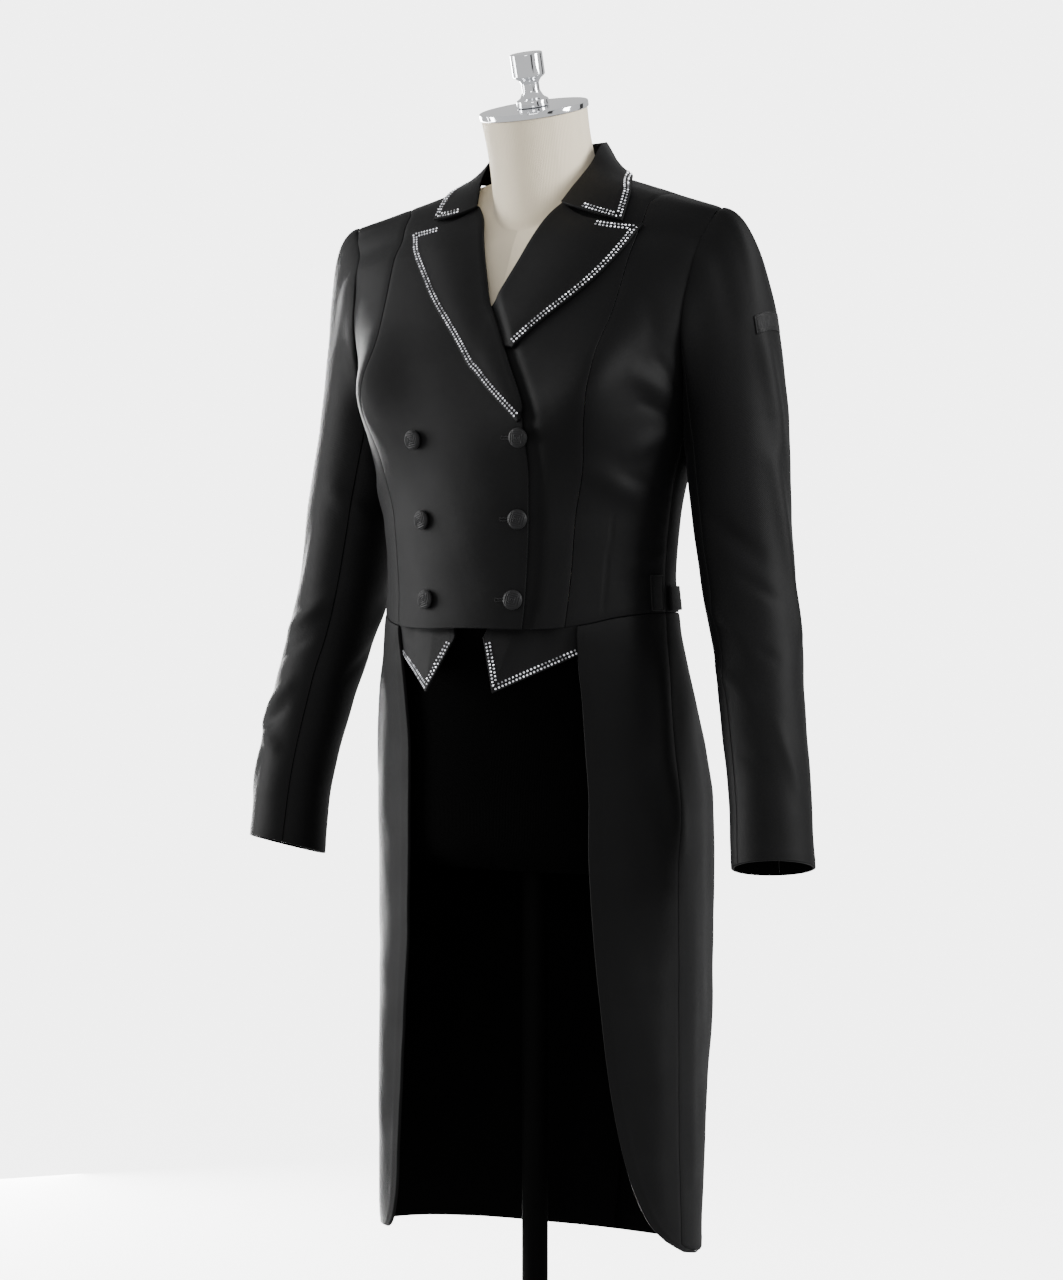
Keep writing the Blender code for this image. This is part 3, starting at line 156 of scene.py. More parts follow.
TailEdge = namedtuple("TailEdge", "level left right")
TAIL_EDGE = [
    TailEdge(0.400, 97.0, 52.5), TailEdge(0.403, 90.0, 49.6), TailEdge(0.408, 83.0, 47.4),
    TailEdge(0.418, 72.0, 45.6), TailEdge(0.435, 62.4, 44.0), TailEdge(0.473, 53.5, 42.6),
    TailEdge(0.518, 47.8, 41.4), TailEdge(0.571, 43.3, 39.4), TailEdge(0.625, 40.1, 36.8),
    TailEdge(0.678, 37.4, 34.6), TailEdge(0.723, 35.8, 33.8), TailEdge(0.767, 35.0, 33.0),
    TailEdge(0.847, 35.6, 32.8), TailEdge(0.925, 38.6, 35.0), TailEdge(0.978, 42.0, 38.0),
]
HEM_LEVEL, TAIL_TOP = 0.400, 0.9777
TAIL_LEAST_ANGLE = 6.0
HEM_RUN = 0.150
HEM_BACK_DROP, HEM_RIGHT_RISE = 0.0060, 0.0070
VENT_LAP = 0.034
VENT_RUN = 0.030
TUCK_RUN = 0.018
TUCK_LEAD = 0.006
TUCK_DEPTH = 0.0034

LAPEL_EDGE = {
    "left": [
        Seam(1.148, -17.0), Seam(1.167, -8.6), Seam(1.195, 1.6), Seam(1.209, 7.0),
        Seam(1.222, 10.2), Seam(1.239, 14.5), Seam(1.254, 19.6), Seam(1.270, 25.3),
        Seam(1.290, 31.6), Seam(1.315, 38.2), Seam(1.3495, 45.4),
    ],
    "right": [
        Seam(1.1450, -17.6), Seam(1.1560, -12.7), Seam(1.166, -8.4), Seam(1.1785, -3.5),
        Seam(1.1933, 0.2), Seam(1.2045, 1.9), Seam(1.2168, 4.6), Seam(1.243, 11.3),
        Seam(1.270, 18.8), Seam(1.300, 27.0), Seam(1.316, 31.7), Seam(1.3495, 40.6),
    ],
}
LapelSpan = namedtuple("LapelSpan", "roll_start roll_end edge_start edge_end")
LAPEL_SPAN = {
    "right": LapelSpan(1.1495, 1.358, 1.1465, 1.3500),
    "left": LapelSpan(1.2165, 1.358, 1.2145, 1.3485),
}
ROLL_HIDE_RUN, ROLL_DRAWN_BACK = 0.020, 0.0016
LAPEL_DIP = 0.0105
LAPEL_RUN = 0.20
LAPEL_ROLL_HEIGHT = 0.0024
LAPEL_LIFT = LAP_GAP * 0.9

Waist = namedtuple("Waist", "angle level")
WAIST_LINE = [
    Waist(-30.0, 0.9625), Waist(0.0, 0.9640), Waist(20.0, 0.9630), Waist(30.0, 0.9635),
    Waist(45.0, 0.9680), Waist(60.0, 0.9745), Waist(80.0, 0.9780), Waist(180.0, 0.9780),
]
NECKLINE = [
    Waist(150.0, 1.3980), Waist(158.0, 1.3960), Waist(163.0, 1.3905), Waist(169.0, 1.3835),
    Waist(180.0, 1.3765),
]

SleeveRing = namedtuple("SleeveRing", "level across forward radius")
SLEEVE_RINGS = [
    SleeveRing(0.7550, 0.2619, 0.0255, 0.0372), SleeveRing(0.8140, 0.2564, 0.0213, 0.0362),
    SleeveRing(0.9020, 0.2412, 0.0082, 0.0380), SleeveRing(0.9460, 0.2320, -0.0017, 0.0400),
    SleeveRing(0.9900, 0.2220, -0.0060, 0.0415), SleeveRing(1.0860, 0.2067, -0.0137, 0.0455),
    SleeveRing(1.1500, 0.1975, -0.0215, 0.0485), SleeveRing(1.1800, 0.1935, -0.0225, 0.0495),
]
BICEPS_LEVEL = 1.150
CUFF_LEVEL = 0.7550
FOREARM_SEAM, HINDARM_SEAM = 0.33, 0.70
CUFF_NORMAL = np.array(Vector((-0.1415, 0.226, 1.0)).normalized())
CUFF_TILT_RUN = 0.070
HEAD_LEAVE, HEAD_ARRIVE, HEAD_DROP = 0.62, 0.90, 0.70
SLEEVE_HEAD_RUN, SLEEVE_ARM_RUN = 0.235, 0.405
SLEEVE_USUAL_RADIUS = 0.042
# The turning of a bodice panel that runs on under the sleeve head, between two levels.
TURNING_WIDTH = 0.0055
TURNING_LEVELS = (ARMPIT_LEVEL + 0.006, 1.388)
TURNING_RISE, TURNING_FALL = 0.020, 0.030

# Folds of the body: a ridge, or a trough if its height is negative, between two points.
Fold = namedtuple("Fold", "side angle level to_angle to_level width height")
BODY_FOLDS = [
    Fold(LEFT, 77.0, 1.168, 56.0, 1.190, 0.010, 0.0035),
    Fold(LEFT, 82.0, 1.140, 60.0, 1.120, 0.010, 0.0025),
    Fold(LEFT, 70.0, 1.075, 44.0, 1.106, 0.011, 0.0025),
    Fold(RIGHT, 74.0, 1.165, 54.0, 1.185, 0.010, 0.0030),
    Fold(RIGHT, 72.0, 1.070, 48.0, 1.100, 0.011, 0.0025),
    Fold(LEFT, 77.0, 0.935, 73.0, 0.850, 0.012, 0.0040),
    Fold(LEFT, 73.0, 0.850, 84.0, 0.770, 0.012, 0.0040),
    Fold(RIGHT, 76.0, 0.935, 70.0, 0.840, 0.012, 0.0035),
    Fold(LEFT, 106.0, 0.860, 112.0, 0.560, 0.020, -0.0030),
    Fold(RIGHT, 106.0, 0.860, 112.0, 0.540, 0.020, -0.0030),
    Fold(LEFT, 66.0, 0.640, 74.0, 0.440, 0.020, 0.0035),
    Fold(RIGHT, 60.0, 0.640, 66.0, 0.430, 0.020, 0.0035),
    Fold(LEFT, 140.0, 0.860, 146.0, 0.480, 0.024, 0.0045),
    Fold(RIGHT, 142.0, 0.840, 138.0, 0.470, 0.024, 0.0045),
    Fold(LEFT, 128.0, 1.150, 150.0, 1.110, 0.012, 0.0025),
    Fold(RIGHT, 130.0, 1.145, 152.0, 1.115, 0.012, 0.0025),
]
# Smaller creases that only the looks have.
FINE_FOLDS = [
    Fold(LEFT, 78.0, 1.182, 64.0, 1.205, 0.005, -0.0012),
    Fold(LEFT, 79.0, 1.152, 62.0, 1.164, 0.005, -0.0011),
    Fold(LEFT, 74.0, 1.090, 58.0, 1.100, 0.006, -0.0009),
    Fold(LEFT, 60.0, 1.215, 50.0, 1.262, 0.008, -0.0010),
    Fold(RIGHT, 76.0, 1.178, 62.0, 1.200, 0.005, -0.0012),
    Fold(RIGHT, 77.0, 1.148, 60.0, 1.158, 0.005, -0.0010),
    Fold(LEFT, 84.0, 1.030, 66.0, 1.018, 0.007, 0.0010),
    Fold(RIGHT, 84.0, 1.034, 64.0, 1.020, 0.007, 0.0010),
    Fold(LEFT, 60.0, 0.760, 63.0, 0.500, 0.016, -0.0016),
    Fold(LEFT, 92.0, 0.740, 95.0, 0.470, 0.014, 0.0016),
    Fold(RIGHT, 84.0, 0.720, 88.0, 0.460, 0.014, 0.0015),
    Fold(LEFT, 124.0, 0.780, 128.0, 0.470, 0.015, 0.0018),
    Fold(RIGHT, 126.0, 0.800, 121.0, 0.500, 0.015, 0.0018),
    Fold(LEFT, 160.0, 0.800, 164.0, 0.500, 0.016, -0.0018),
    Fold(RIGHT, 158.0, 0.790, 155.0, 0.480, 0.016, -0.0018),
    Fold(LEFT, 112.0, 1.190, 126.0, 1.160, 0.007, -0.0012),
    Fold(RIGHT, 113.0, 1.184, 128.0, 1.156, 0.007, -0.0012),
    Fold(LEFT, 150.0, 1.215, 172.0, 1.222, 0.012, 0.0012),
    Fold(RIGHT, 152.0, 1.206, 174.0, 1.214, 0.012, 0.0010),
    Fold(LEFT, 118.0, 1.060, 150.0, 1.040, 0.010, 0.0014),
    Fold(RIGHT, 120.0, 1.052, 148.0, 1.036, 0.010, 0.0014),
    Fold(LEFT, 140.0, 0.955, 172.0, 0.948, 0.012, -0.0012),
    Fold(RIGHT, 142.0, 0.958, 170.0, 0.950, 0.012, -0.0012),
]
# A sewn dart or seam within a panel: a narrow groove between two points.
GROOVES = [
    Fold(LEFT, 56.7, 1.070, 52.7, 0.977, 0.0011, -0.0010),
    Fold(RIGHT, 56.7, 1.070, 52.7, 0.977, 0.0011, -0.0010),
]
SleeveFold = namedtuple("SleeveFold", "side round level to_round to_level width height")
SLEEVE_FOLDS = [
    SleeveFold(LEFT, 0.06, 1.225, 0.02, 1.130, 0.010, 0.0040),
    SleeveFold(LEFT, 0.05, 1.110, -0.03, 0.960, 0.009, 0.0040),
    SleeveFold(LEFT, 0.28, 1.060, 0.14, 1.030, 0.009, -0.0030),
    SleeveFold(LEFT, 0.36, 0.985, 0.20, 0.950, 0.009, 0.0035),
    SleeveFold(LEFT, 0.38, 0.930, 0.22, 0.905, 0.009, 0.0030),
    SleeveFold(LEFT, 0.68, 0.990, 0.55, 0.950, 0.010, 0.0030),
    SleeveFold(RIGHT, 0.30, 0.985, 0.14, 0.960, 0.009, 0.0035),
    SleeveFold(RIGHT, 0.22, 0.905, 0.08, 0.872, 0.009, 0.0042),
    SleeveFold(RIGHT, 0.08, 0.872, 0.22, 0.850, 0.008, 0.0035),
    SleeveFold(RIGHT, 0.12, 0.850, 0.06, 0.800, 0.008, 0.0030),
    SleeveFold(RIGHT, 0.40, 1.060, 0.26, 1.090, 0.010, 0.0030),
    SleeveFold(RIGHT, 0.66, 1.000, 0.55, 0.965, 0.010, 0.0030),
]
FINE_SLEEVE_FOLDS = [
    SleeveFold(LEFT, 0.20, 1.010, 0.08, 0.990, 0.006, -0.0014),
    SleeveFold(LEFT, 0.30, 0.965, 0.12, 0.938, 0.006, -0.0014),
    SleeveFold(LEFT, 0.12, 0.880, 0.04, 0.820, 0.007, 0.0014),
    SleeveFold(LEFT, 0.30, 0.860, 0.18, 0.845, 0.006, -0.0010),
    SleeveFold(LEFT, -0.10, 1.060, -0.20, 0.980, 0.008, -0.0014),
    SleeveFold(LEFT, 0.44, 1.110, 0.34, 1.130, 0.006, -0.0012),
    SleeveFold(LEFT, 0.60, 0.940, 0.48, 0.920, 0.007, -0.0014),
    SleeveFold(RIGHT, 0.26, 0.950, 0.12, 0.930, 0.006, -0.0014),
    SleeveFold(RIGHT, 0.24, 0.885, 0.12, 0.862, 0.005, -0.0014),
    SleeveFold(RIGHT, 0.02, 1.160, 0.06, 1.060, 0.010, 0.0016),
    SleeveFold(RIGHT, 0.16, 1.060, 0.10, 0.990, 0.008, -0.0012),
    SleeveFold(RIGHT, -0.08, 1.050, -0.18, 0.980, 0.008, -0.0014),
    SleeveFold(RIGHT, 0.44, 1.110, 0.34, 1.132, 0.006, -0.0012),
    SleeveFold(RIGHT, 0.58, 0.945, 0.46, 0.915, 0.007, -0.0014),
]

CollarStation = namedtuple("CollarStation", "share seam roll middle edge")
COLLAR = {
    "left": [
        CollarStation(0.00, (0.0000, 0.0770), (0.0000, 0.0745, 1.4120),
                      (0.0000, 0.0870, 1.3960), (0.0000, 0.0905)),
        CollarStation(0.22, (0.0430, 0.0640), (0.0385, 0.0585, 1.4110),
                      (0.0445, 0.0690, 1.3960), (0.0500, 0.0735)),
        CollarStation(0.34, (0.0590, 0.0490), (0.0480, 0.0420, 1.4090),
                      (0.0560, 0.0490, 1.3940), (0.0700, 0.0555)),
        CollarStation(0.45, (0.0680, 0.0330), (0.0550, 0.0240, 1.4050),
                      (0.0640, 0.0250, 1.3900), (0.0880, 0.0280)),
        CollarStation(0.62, (0.0690, 0.0130), (0.0565, 0.0065, 1.3870),
                      (0.0690, 0.0020, 1.3770), (0.1000, 0.0040)),
        CollarStation(0.82, (0.0610, -0.0075), (0.0520, -0.0120, 1.3680),
                      (0.0735, -0.0180, 1.3610), (0.1095, -0.0120)),
        CollarStation(1.00, (0.0525, -0.0235), (0.0450, -0.0280, 1.3480),
                      (0.0750, -0.0375, 1.3390), (0.1122, -0.0310)),
    ],
    "right": [
        CollarStation(0.22, (0.0430, 0.0640), (0.0385, 0.0585, 1.4110),
                      (0.0445, 0.0690, 1.3955), (0.0500, 0.0735)),
        CollarStation(0.34, (0.0590, 0.0490), (0.0480, 0.0420, 1.4085),
                      (0.0555, 0.0490, 1.3930), (0.0685, 0.0550)),
        CollarStation(0.45, (0.0660, 0.0330), (0.0550, 0.0240, 1.4040),
                      (0.0630, 0.0250, 1.3890), (0.0825, 0.0280)),
        CollarStation(0.62, (0.0670, 0.0130), (0.0565, 0.0065, 1.3860),
                      (0.0665, 0.0020, 1.3750), (0.0905, 0.0050)),
        CollarStation(0.82, (0.0600, -0.0080), (0.0520, -0.0120, 1.3670),
                      (0.0675, -0.0180, 1.3590), (0.0930, -0.0095)),
        CollarStation(1.00, (0.0525, -0.0235), (0.0450, -0.0280, 1.3480),
                      (0.0660, -0.0375, 1.3385), (0.0940, -0.0270)),
    ],
}
COLLAR_REST = 0.0025
STAND_SHARE = 0.36

HALF_BELT_RUN = 0.30
HALF_BELT_LEVELS = (0.9797, 1.0015)
HALF_BELT_START = 88.0

VEST_TOP_LEVEL = 0.982
VEST_ANGLES = (7.0, 43.0)
VEST_CLEAR = 0.0042
VEST_CLEAR_ANGLES = (28.0, 37.0)
VEST_HIDDEN = 0.8
VEST_POINT = {"inner": (0.0149, -0.1120, 0.9560), "tip": (0.0355, -0.1290, 0.9070),
              "outer": (0.0975, -0.0760, 0.9420)}
VEST_TIP_SHARE = 0.3

TAB_WALL = 0.0009
TAB_ROUND = 0.0005
STITCH_DEPTH, STITCH_INSET, STITCH_WIDTH = 0.00022, 0.0014, 0.0004
LABEL_ANGLES = (75.3, 83.0)
LABEL_LEVELS = (0.9795, 1.0116)
PATCH_TURNS = (-0.045, 0.085)
PATCH_ROWS = (0.742, 0.672)

ButtonRow = namedtuple("ButtonRow", "level across")
BUTTON_ROWS = [ButtonRow(1.1330, 0.0548), ButtonRow(1.0610, 0.0505), ButtonRow(0.9895, 0.0458)]
BUTTON_HEIGHT = 0.0048
CORD_HEIGHT, CORD_TURNS = 0.00062, 4.5
CORNER_DEPTH, CORNER_WIDTH = 0.00018, 0.05
RIM_HEIGHTS = np.array([0.62, 0.48, 0.32, 0.18, 0.06, 0.0])
RIM_RADII = np.array([1.02, 1.05, 1.05, 1.02, 0.95, 0.84])
# Half sizes of a buttonhole's stitches, along its sides and round its eye.
STITCH_KNOT, EYE_KNOT = (0.00026, 0.00075, 0.00034), (0.00042, 0.00042, 0.00034)
BUTTONHOLE_START, BUTTONHOLE_LENGTH, BUTTONHOLE_HALF = 0.0045, 0.0115, 0.0011
EYE_LENGTH, EYE_HALF = 0.0012, 0.0018
THREAD_LIFT = 0.00015
STONE_MISS = 0.0012      # a stone further than this from its place is left out
STONE_GLUE = 0.0001
# Brightness of a stone: it sets both the stone's colour and its emission, which is painted glow.
STONE_TONES_AND_GLOWS, TONE_SHARES = [1.0, 0.75, 0.45, 0.20], [0.34, 0.28, 0.22, 0.16]

# The photograph's camera: how far round it stands, its distance, height, tilt and lens.
CAMERA_ROUND = radians(32.0)
CAMERA_DISTANCE = 3.4
CAMERA_HEIGHT = 1.025
CAMERA_TILT = radians(1.237)
CAMERA_LENS = 104.2
CAMERA_ASIDE = 0.0032    # it aims this far left of the coat's axis
AIR_STRENGTH = 0.75      # of the even white light all round


class CoatSettings(bpy.types.PropertyGroup):
    """Sizes and colours of the cloth and its trimmings."""
    cloth_colour: FloatVectorProperty(
        name="Cloth colour", description="Colour of the black cloth", subtype="COLOR",
        size=3, min=0.0, max=1.0, default=(0.0026, 0.0026, 0.0028))
    cloth_roughness: FloatProperty(
        name="Cloth roughness", description="How matt the cloth is", min=0.0, max=1.0, default=0.56)
    weave_pitch: FloatProperty(
        name="Weave pitch", description="Distance between two twill lines", unit="LENGTH",
        min=0.0002, max=0.01, default=0.0009)
    button_radius: FloatProperty(
        name="Button radius", description="Radius of a covered button", unit="LENGTH",
        min=0.004, max=0.02, default=0.0085)
    stone_diameter: FloatProperty(
        name="Stone diameter", description="Diameter of one cut stone of the trim", unit="LENGTH",
        min=0.0008, max=0.006, default=0.0020)
    stone_pitch: FloatProperty(
        name="Stone pitch", description="Distance from stone to stone in a row", unit="LENGTH",
        min=0.001, max=0.01, default=0.0034)
    stone_row_gap: FloatProperty(
        name="Row distance", description="Distance between the two rows of stones", unit="LENGTH",
        min=0.001, max=0.01, default=0.0033)
    stone_edge_gap: FloatProperty(
        name="Edge distance", description="Distance of the outer row from the cloth's edge",
        unit="LENGTH", min=0.0005, max=0.01, default=0.0024)


class FormSettings(bpy.types.PropertyGroup):
    """Colours of the dress form and its stand."""
    jersey_colour: FloatVectorProperty(
        name="Jersey colour", description="Colour of the form's upper cover", subtype="COLOR",
        size=3, min=0.0, max=1.0, default=(0.86, 0.75, 0.56))
    # The hip cover's black is partly painted shade: it is set far darker than the coat's cloth.
    hips_colour_and_shade: FloatVectorProperty(
        name="Hip cover colour", description="Colour of the form's lower cover", subtype="COLOR",
        size=3, min=0.0, max=1.0, default=(0.0006, 0.0006, 0.0006))
    chrome_roughness: FloatProperty(
        name="Chrome roughness", description="How blurred the bright metal is",
        min=0.0, max=1.0, default=0.09)


class StageSettings(bpy.types.PropertyGroup):
    """The pale studio round the coat."""
    backdrop_colour: FloatVectorProperty(
        name="Backdrop colour", description="Colour of the floor and the wall", subtype="COLOR",
        size=3, min=0.0, max=1.0, default=(0.40, 0.40, 0.40))
    backdrop_radius: FloatProperty(
        name="Backdrop radius", description="Distance of the round wall from the coat",
        unit="LENGTH", min=6.0, max=30.0, default=9.0)
    backdrop_glow: FloatProperty(
        name="Backdrop glow", description="How brightly the backdrop is lit from behind",
        min=0.0, max=10.0, default=4.6)
    light_strength: FloatProperty(
        name="Light strength", description="Multiplies every lamp", min=0.0, max=10.0, default=1.0)


def coat():
    return bpy.context.scene.coat_settings


def smooth_step(value):
    s = np.clip(value, 0.0, 1.0)
    return s * s * (3 - 2 * s)


def hermite(keys, values, slopes, at):
    """A smooth curve through values with these slopes, read anywhere along it."""
    here = np.clip(np.asarray(at, float), keys[0], keys[-1])
    i = np.clip(np.searchsorted(keys, here, side="right") - 1, 0, len(keys) - 2)
    span = keys[i + 1] - keys[i]
    s = (here - keys[i]) / span
    return ((2 * s**3 - 3 * s**2 + 1) * values[i] + (s**3 - 2 * s**2 + s) * slopes[i] * span
            + (3 * s**2 - 2 * s**3) * values[i + 1] + (s**3 - s**2) * slopes[i + 1] * span)


def read_table(rows, field, at):
    """A column of a table read smoothly between its rows, never past a row's own value."""
    keys = np.array([row[0] for row in rows])
    values = np.array([getattr(row, field) for row in rows])
    run = np.diff(values) / np.diff(keys)
    slopes = np.concatenate(([run[0]], np.zeros(len(rows) - 2), [run[-1]]))
    before, after = run[:-1], run[1:]
    same = before * after > 0
    slopes[1:-1][same] = 2 * before[same] * after[same] / (before[same] + after[same])
    return hermite(keys, values, slopes, at)


SEAM_EASE = 0.012    # seams are eased over this distance, as cloth eases them


def eased(rows, field, at):
    """A table read as a seam is sewn: its small corners eased out, its two ends kept."""
    at = np.asarray(at, float)
    reach = np.minimum(SEAM_EASE, np.maximum(0.0, np.minimum(at - rows[0][0], rows[-1][0] - at)))
    weights = ((-2, 1), (-1, 2), (0, 3), (1, 2), (2, 1))
    return sum(weight * read_table(rows, field, at + step * reach / 2)
               for step, weight in weights) / 9


def seam_angle(seam, level):
    return eased(seam, "angle", level)


def signed_power(value, power):
    return np.sign(value) * np.abs(value) ** power


def body_point(angle, level):
    """The coat's plain outer surface on the wearer's left."""
    angle, level = np.broadcast_arrays(np.asarray(angle, float), np.asarray(level, float))
    ring = {field: read_table(RINGS, field, level) for field in Ring._fields[1:]}
    across, ahead = np.sin(np.radians(angle)), np.cos(np.radians(angle))
    square = np.where(ahead >= 0, ring["front_square"], ring["back_square"])
    depth = np.where(ahead >= 0, ring["front"], ring["back"])
    x = ring["half"] * signed_power(across, 2 / square)
    middle = ring["ridge"] * (RIDGE_BACK - RIDGE_SWEEP * np.abs(x))
    y = middle - depth * signed_power(ahead, 2 / square)
    bust = BUST.height * np.exp(-((np.abs(angle) - BUST.angle) / BUST.angle_spread) ** 2
                                - ((level - BUST.level) / BUST.level_spread) ** 2)
    x = x + np.sign(angle) * bust * sin(radians(BUST.angle))
    y = y - bust * cos(radians(BUST.angle))
    return np.stack([x, y, level - ring["fall"] * np.abs(x) / SHOULDER_HALF], axis=-1)


def unit(vectors):
    return vectors / np.maximum(np.linalg.norm(vectors, axis=-1, keepdims=True), 1e-12)


def body_normal(angle, level):
    """Outward normal, turned to the shoulder line's own near the shoulder seam."""
    angle, level = np.broadcast_arrays(np.asarray(angle, float), np.asarray(level, float))
    held = np.minimum(level, NORMAL_HELD)
    step_angle, step_level = 0.45, 0.0015
    low = np.maximum(held - step_level, RINGS[0].level)
    round_way = body_point(angle + step_angle, held) - body_point(angle - step_angle, held)
    up_way = body_point(angle, held + step_level) - body_point(angle, low)
    normal = unit(np.cross(round_way, up_way))
    ridge = np.broadcast_to(RIDGE_NORMAL, normal.shape).copy()
    ridge[..., 0] *= np.where(angle < 0, -1.0, 1.0)
    share = smooth_step((level - held) / (SHOULDER_LEVEL - held + 1e-9))[..., None]
    return unit(normal * (1 - share) + ridge * share)


def metres_per_degree(angle, level):
    step = body_point(np.asarray(angle) + 1.0, level) - body_point(angle, level)
    return np.linalg.norm(step, axis=-1)


def ridge_height(along, across, length, width, height):
    """A soft ridge of this length: full in the middle, fading at both ends."""
    share = np.clip(along / length, 0.0, 1.0)
    beyond = along - share * length
    fade = np.sqrt(np.maximum(0.0, np.sin(pi * (0.08 + 0.84 * share))))
    return height * fade * np.exp(-(across**2 + beyond**2) / width**2)


def fold_height(fold, around, level, scale):
    """Height of one fold at points given by their way round from its start, and their level."""
    run = np.array([fold[3] * scale - fold[1] * scale, fold.to_level - fold.level])
    length = np.linalg.norm(run)
    heading = run / length
    up = level - fold.level
    along = around * heading[0] + up * heading[1]
    across = around * heading[1] - up * heading[0]
    return ridge_height(along, across, length, fold.width, fold.height)


def body_relief(side, angle, level, fine=True):
    """How far the cloth's folds stand off the plain surface."""
    total = np.zeros(np.broadcast(angle, level).shape)
    for fold in BODY_FOLDS + (FINE_FOLDS + GROOVES if fine else []):
        if fold.side == side:
            scale = float(metres_per_degree(fold.angle, fold.level))
            total = total + fold_height(fold, (angle - fold.angle) * scale, level, scale)
    return total + (ripple(side * angle * 0.0027, level) if fine else 0.0)


# Slow unevenness of cloth: waves with their own length, direction and height.
Wave = namedtuple("Wave", "round up height start")
RIPPLES = [
    Wave(31.0, 47.0, 0.00022, 0.4), Wave(-52.0, 29.0, 0.00018, 1.9), Wave(88.0, 16.0, 0.00014, 3.1),
    Wave(67.0, -93.0, 0.00010, 4.4), Wave(-19.0, 141.0, 0.00009, 0.9),
    Wave(149.0, 71.0, 0.00006, 2.6),
]


def ripple(around, level):
    """A few slow waves, so that no panel is perfectly even."""
    return sum(wave.height * np.sin(wave.round * around + wave.up * level + wave.start)
               for wave in RIPPLES)


def to_side(side, points):
    return points * np.array((side, 1.0, 1.0))


def on_coat(side, angle, level, lift=0.0):
    """Points of the coat on one side, lifted off its outer face, and the normals there."""
    angle, level = np.broadcast_arrays(np.asarray(angle, float), np.asarray(level, float))
    normal = body_normal(angle, level)
    height = np.asarray(lift + body_relief(side, angle, level))[..., None]
    return to_side(side, body_point(angle, level) + normal * height), to_side(side, normal)


def arc_lengths(points):
    """Distance along each row of points, from its first."""
    steps = np.linalg.norm(np.diff(points, axis=-2), axis=-1)
    start = np.zeros(steps.shape[:-1] + (1,))
    return np.concatenate([start, np.cumsum(steps, axis=-1)], axis=-1)


# A pressed edge's allowance shows as a low ridge beside the edge.
EDGE_RIDGE_HEIGHT, EDGE_RIDGE_INSET, EDGE_RIDGE_WIDTH = 0.00018, 0.0075, 0.0022
# Distances from a cloth edge at which the shell has its own rows, to round the edge over.
EDGE_STEPS = np.array([0.0, 0.00018, 0.00045, 0.0008, 0.0013, 0.0021, 0.0034])


def edge_spread(width, count):
    """Distances across a width: close together at both edges, even between them."""
    width = np.asarray(width, float)[..., None]
    steps = np.minimum(EDGE_STEPS, width * 0.5 * np.linspace(0, 0.9, len(EDGE_STEPS)))
    middle = np.linspace(0, 1, count + 2)[1:-1]
    inner = steps[..., -1:] + (width - 2 * steps[..., -1:]) * middle
    return np.concatenate([steps, inner, (width - steps)[..., ::-1]], axis=-1)


def rolled(distance, radius):
    """How far a rounded edge sinks at a distance from it."""
    inside = np.clip(1 - distance / radius, 0.0, 1.0)
    return radius * (1 - np.sqrt(np.maximum(0.0, 1 - inside**2)))


def sewn(distance):
    """A sewn edge turns in and pulls the cloth beside it down a little."""
    return rolled(distance, 0.0007) + 0.00055 * np.exp(-((distance / 0.0030) ** 2))


def pressed(distance):
    """A free edge, pressed flat: rounded over, with the turning's ridge a little way in."""
    seam_ridge = np.exp(-(((distance - EDGE_RIDGE_INSET) / EDGE_RIDGE_WIDTH) ** 2))
    return rolled(distance, EDGE_ROUND) - EDGE_RIDGE_HEIGHT * seam_ridge


EDGE_KINDS = {"sewn": sewn, "pressed": pressed, "plain": lambda distance: 0.0 * distance}


def edge_sink(kinds, across, width, up, height):
    """The four edges of a shell together: inner, outer, bottom, top."""
    distances = (across, width - across, up, height - up)
    return sum(EDGE_KINDS[kind](np.maximum(d, 0.0)) for kind, d in zip(kinds, distances))


def shell_mesh(name, outer, inner, spread_uv, finishes):
    """A closed shell from two grids of points. The outer face has the first finish."""
    rows, columns = outer.shape[:2]
    number = np.arange(rows * columns).reshape(rows, columns)
    quads = np.stack([number[:-1, :-1], number[:-1, 1:], number[1:, 1:], number[1:, :-1]], axis=-1)
    outside = quads.reshape(-1, 4)
    inside = outside[:, ::-1] + rows * columns
    loop = np.concatenate([number[0, :-1], number[:-1, -1], number[-1, :0:-1], number[:0:-1, 0]])
    after = np.roll(loop, -1)
    rim = np.stack([after, loop, loop + rows * columns, after + rows * columns], axis=-1)
    faces = np.concatenate([outside, inside, rim])
    points = np.concatenate([outer.reshape(-1, 3), inner.reshape(-1, 3)])
    middle = outer[rows // 2, columns // 2]
    across = outer[rows // 2, columns // 2 + 1] - middle
    upward = outer[rows // 2 + 1, columns // 2] - middle
    through = middle - inner[rows // 2, columns // 2]
    if np.dot(np.cross(across, upward), through) < 0:
        faces = faces[:, ::-1]
    mesh = bpy.data.meshes.new(name)
    mesh.from_pydata(points.tolist(), [], faces.tolist())
    uv = mesh.uv_layers.new(name="cloth_metres")
    flat = np.concatenate([spread_uv.reshape(-1, 2)] * 2)
    uv.data.foreach_set("uv", flat[faces.ravel()].astype(np.float32).ravel())
    for finish in finishes:
        mesh.materials.append(finish)
    kind = np.zeros(len(faces), np.int32)
    kind[len(outside):2 * len(outside)] = len(finishes) - 1
    mesh.polygons.foreach_set("material_index", kind)
    mesh.shade_smooth()
    mesh.set_sharp_from_angle(angle=radians(50))
    mesh.update()
    return mesh


def add_piece(name, mesh, slot, *nodes):
    """Put a finished mesh in the scene: it rides on the coat's one body."""
    made = bpy.data.objects.new(name, mesh)
    bpy.context.scene.collection.objects.link(made)
    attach(made, BODY)
    if nodes:
        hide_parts(*nodes)
    return made


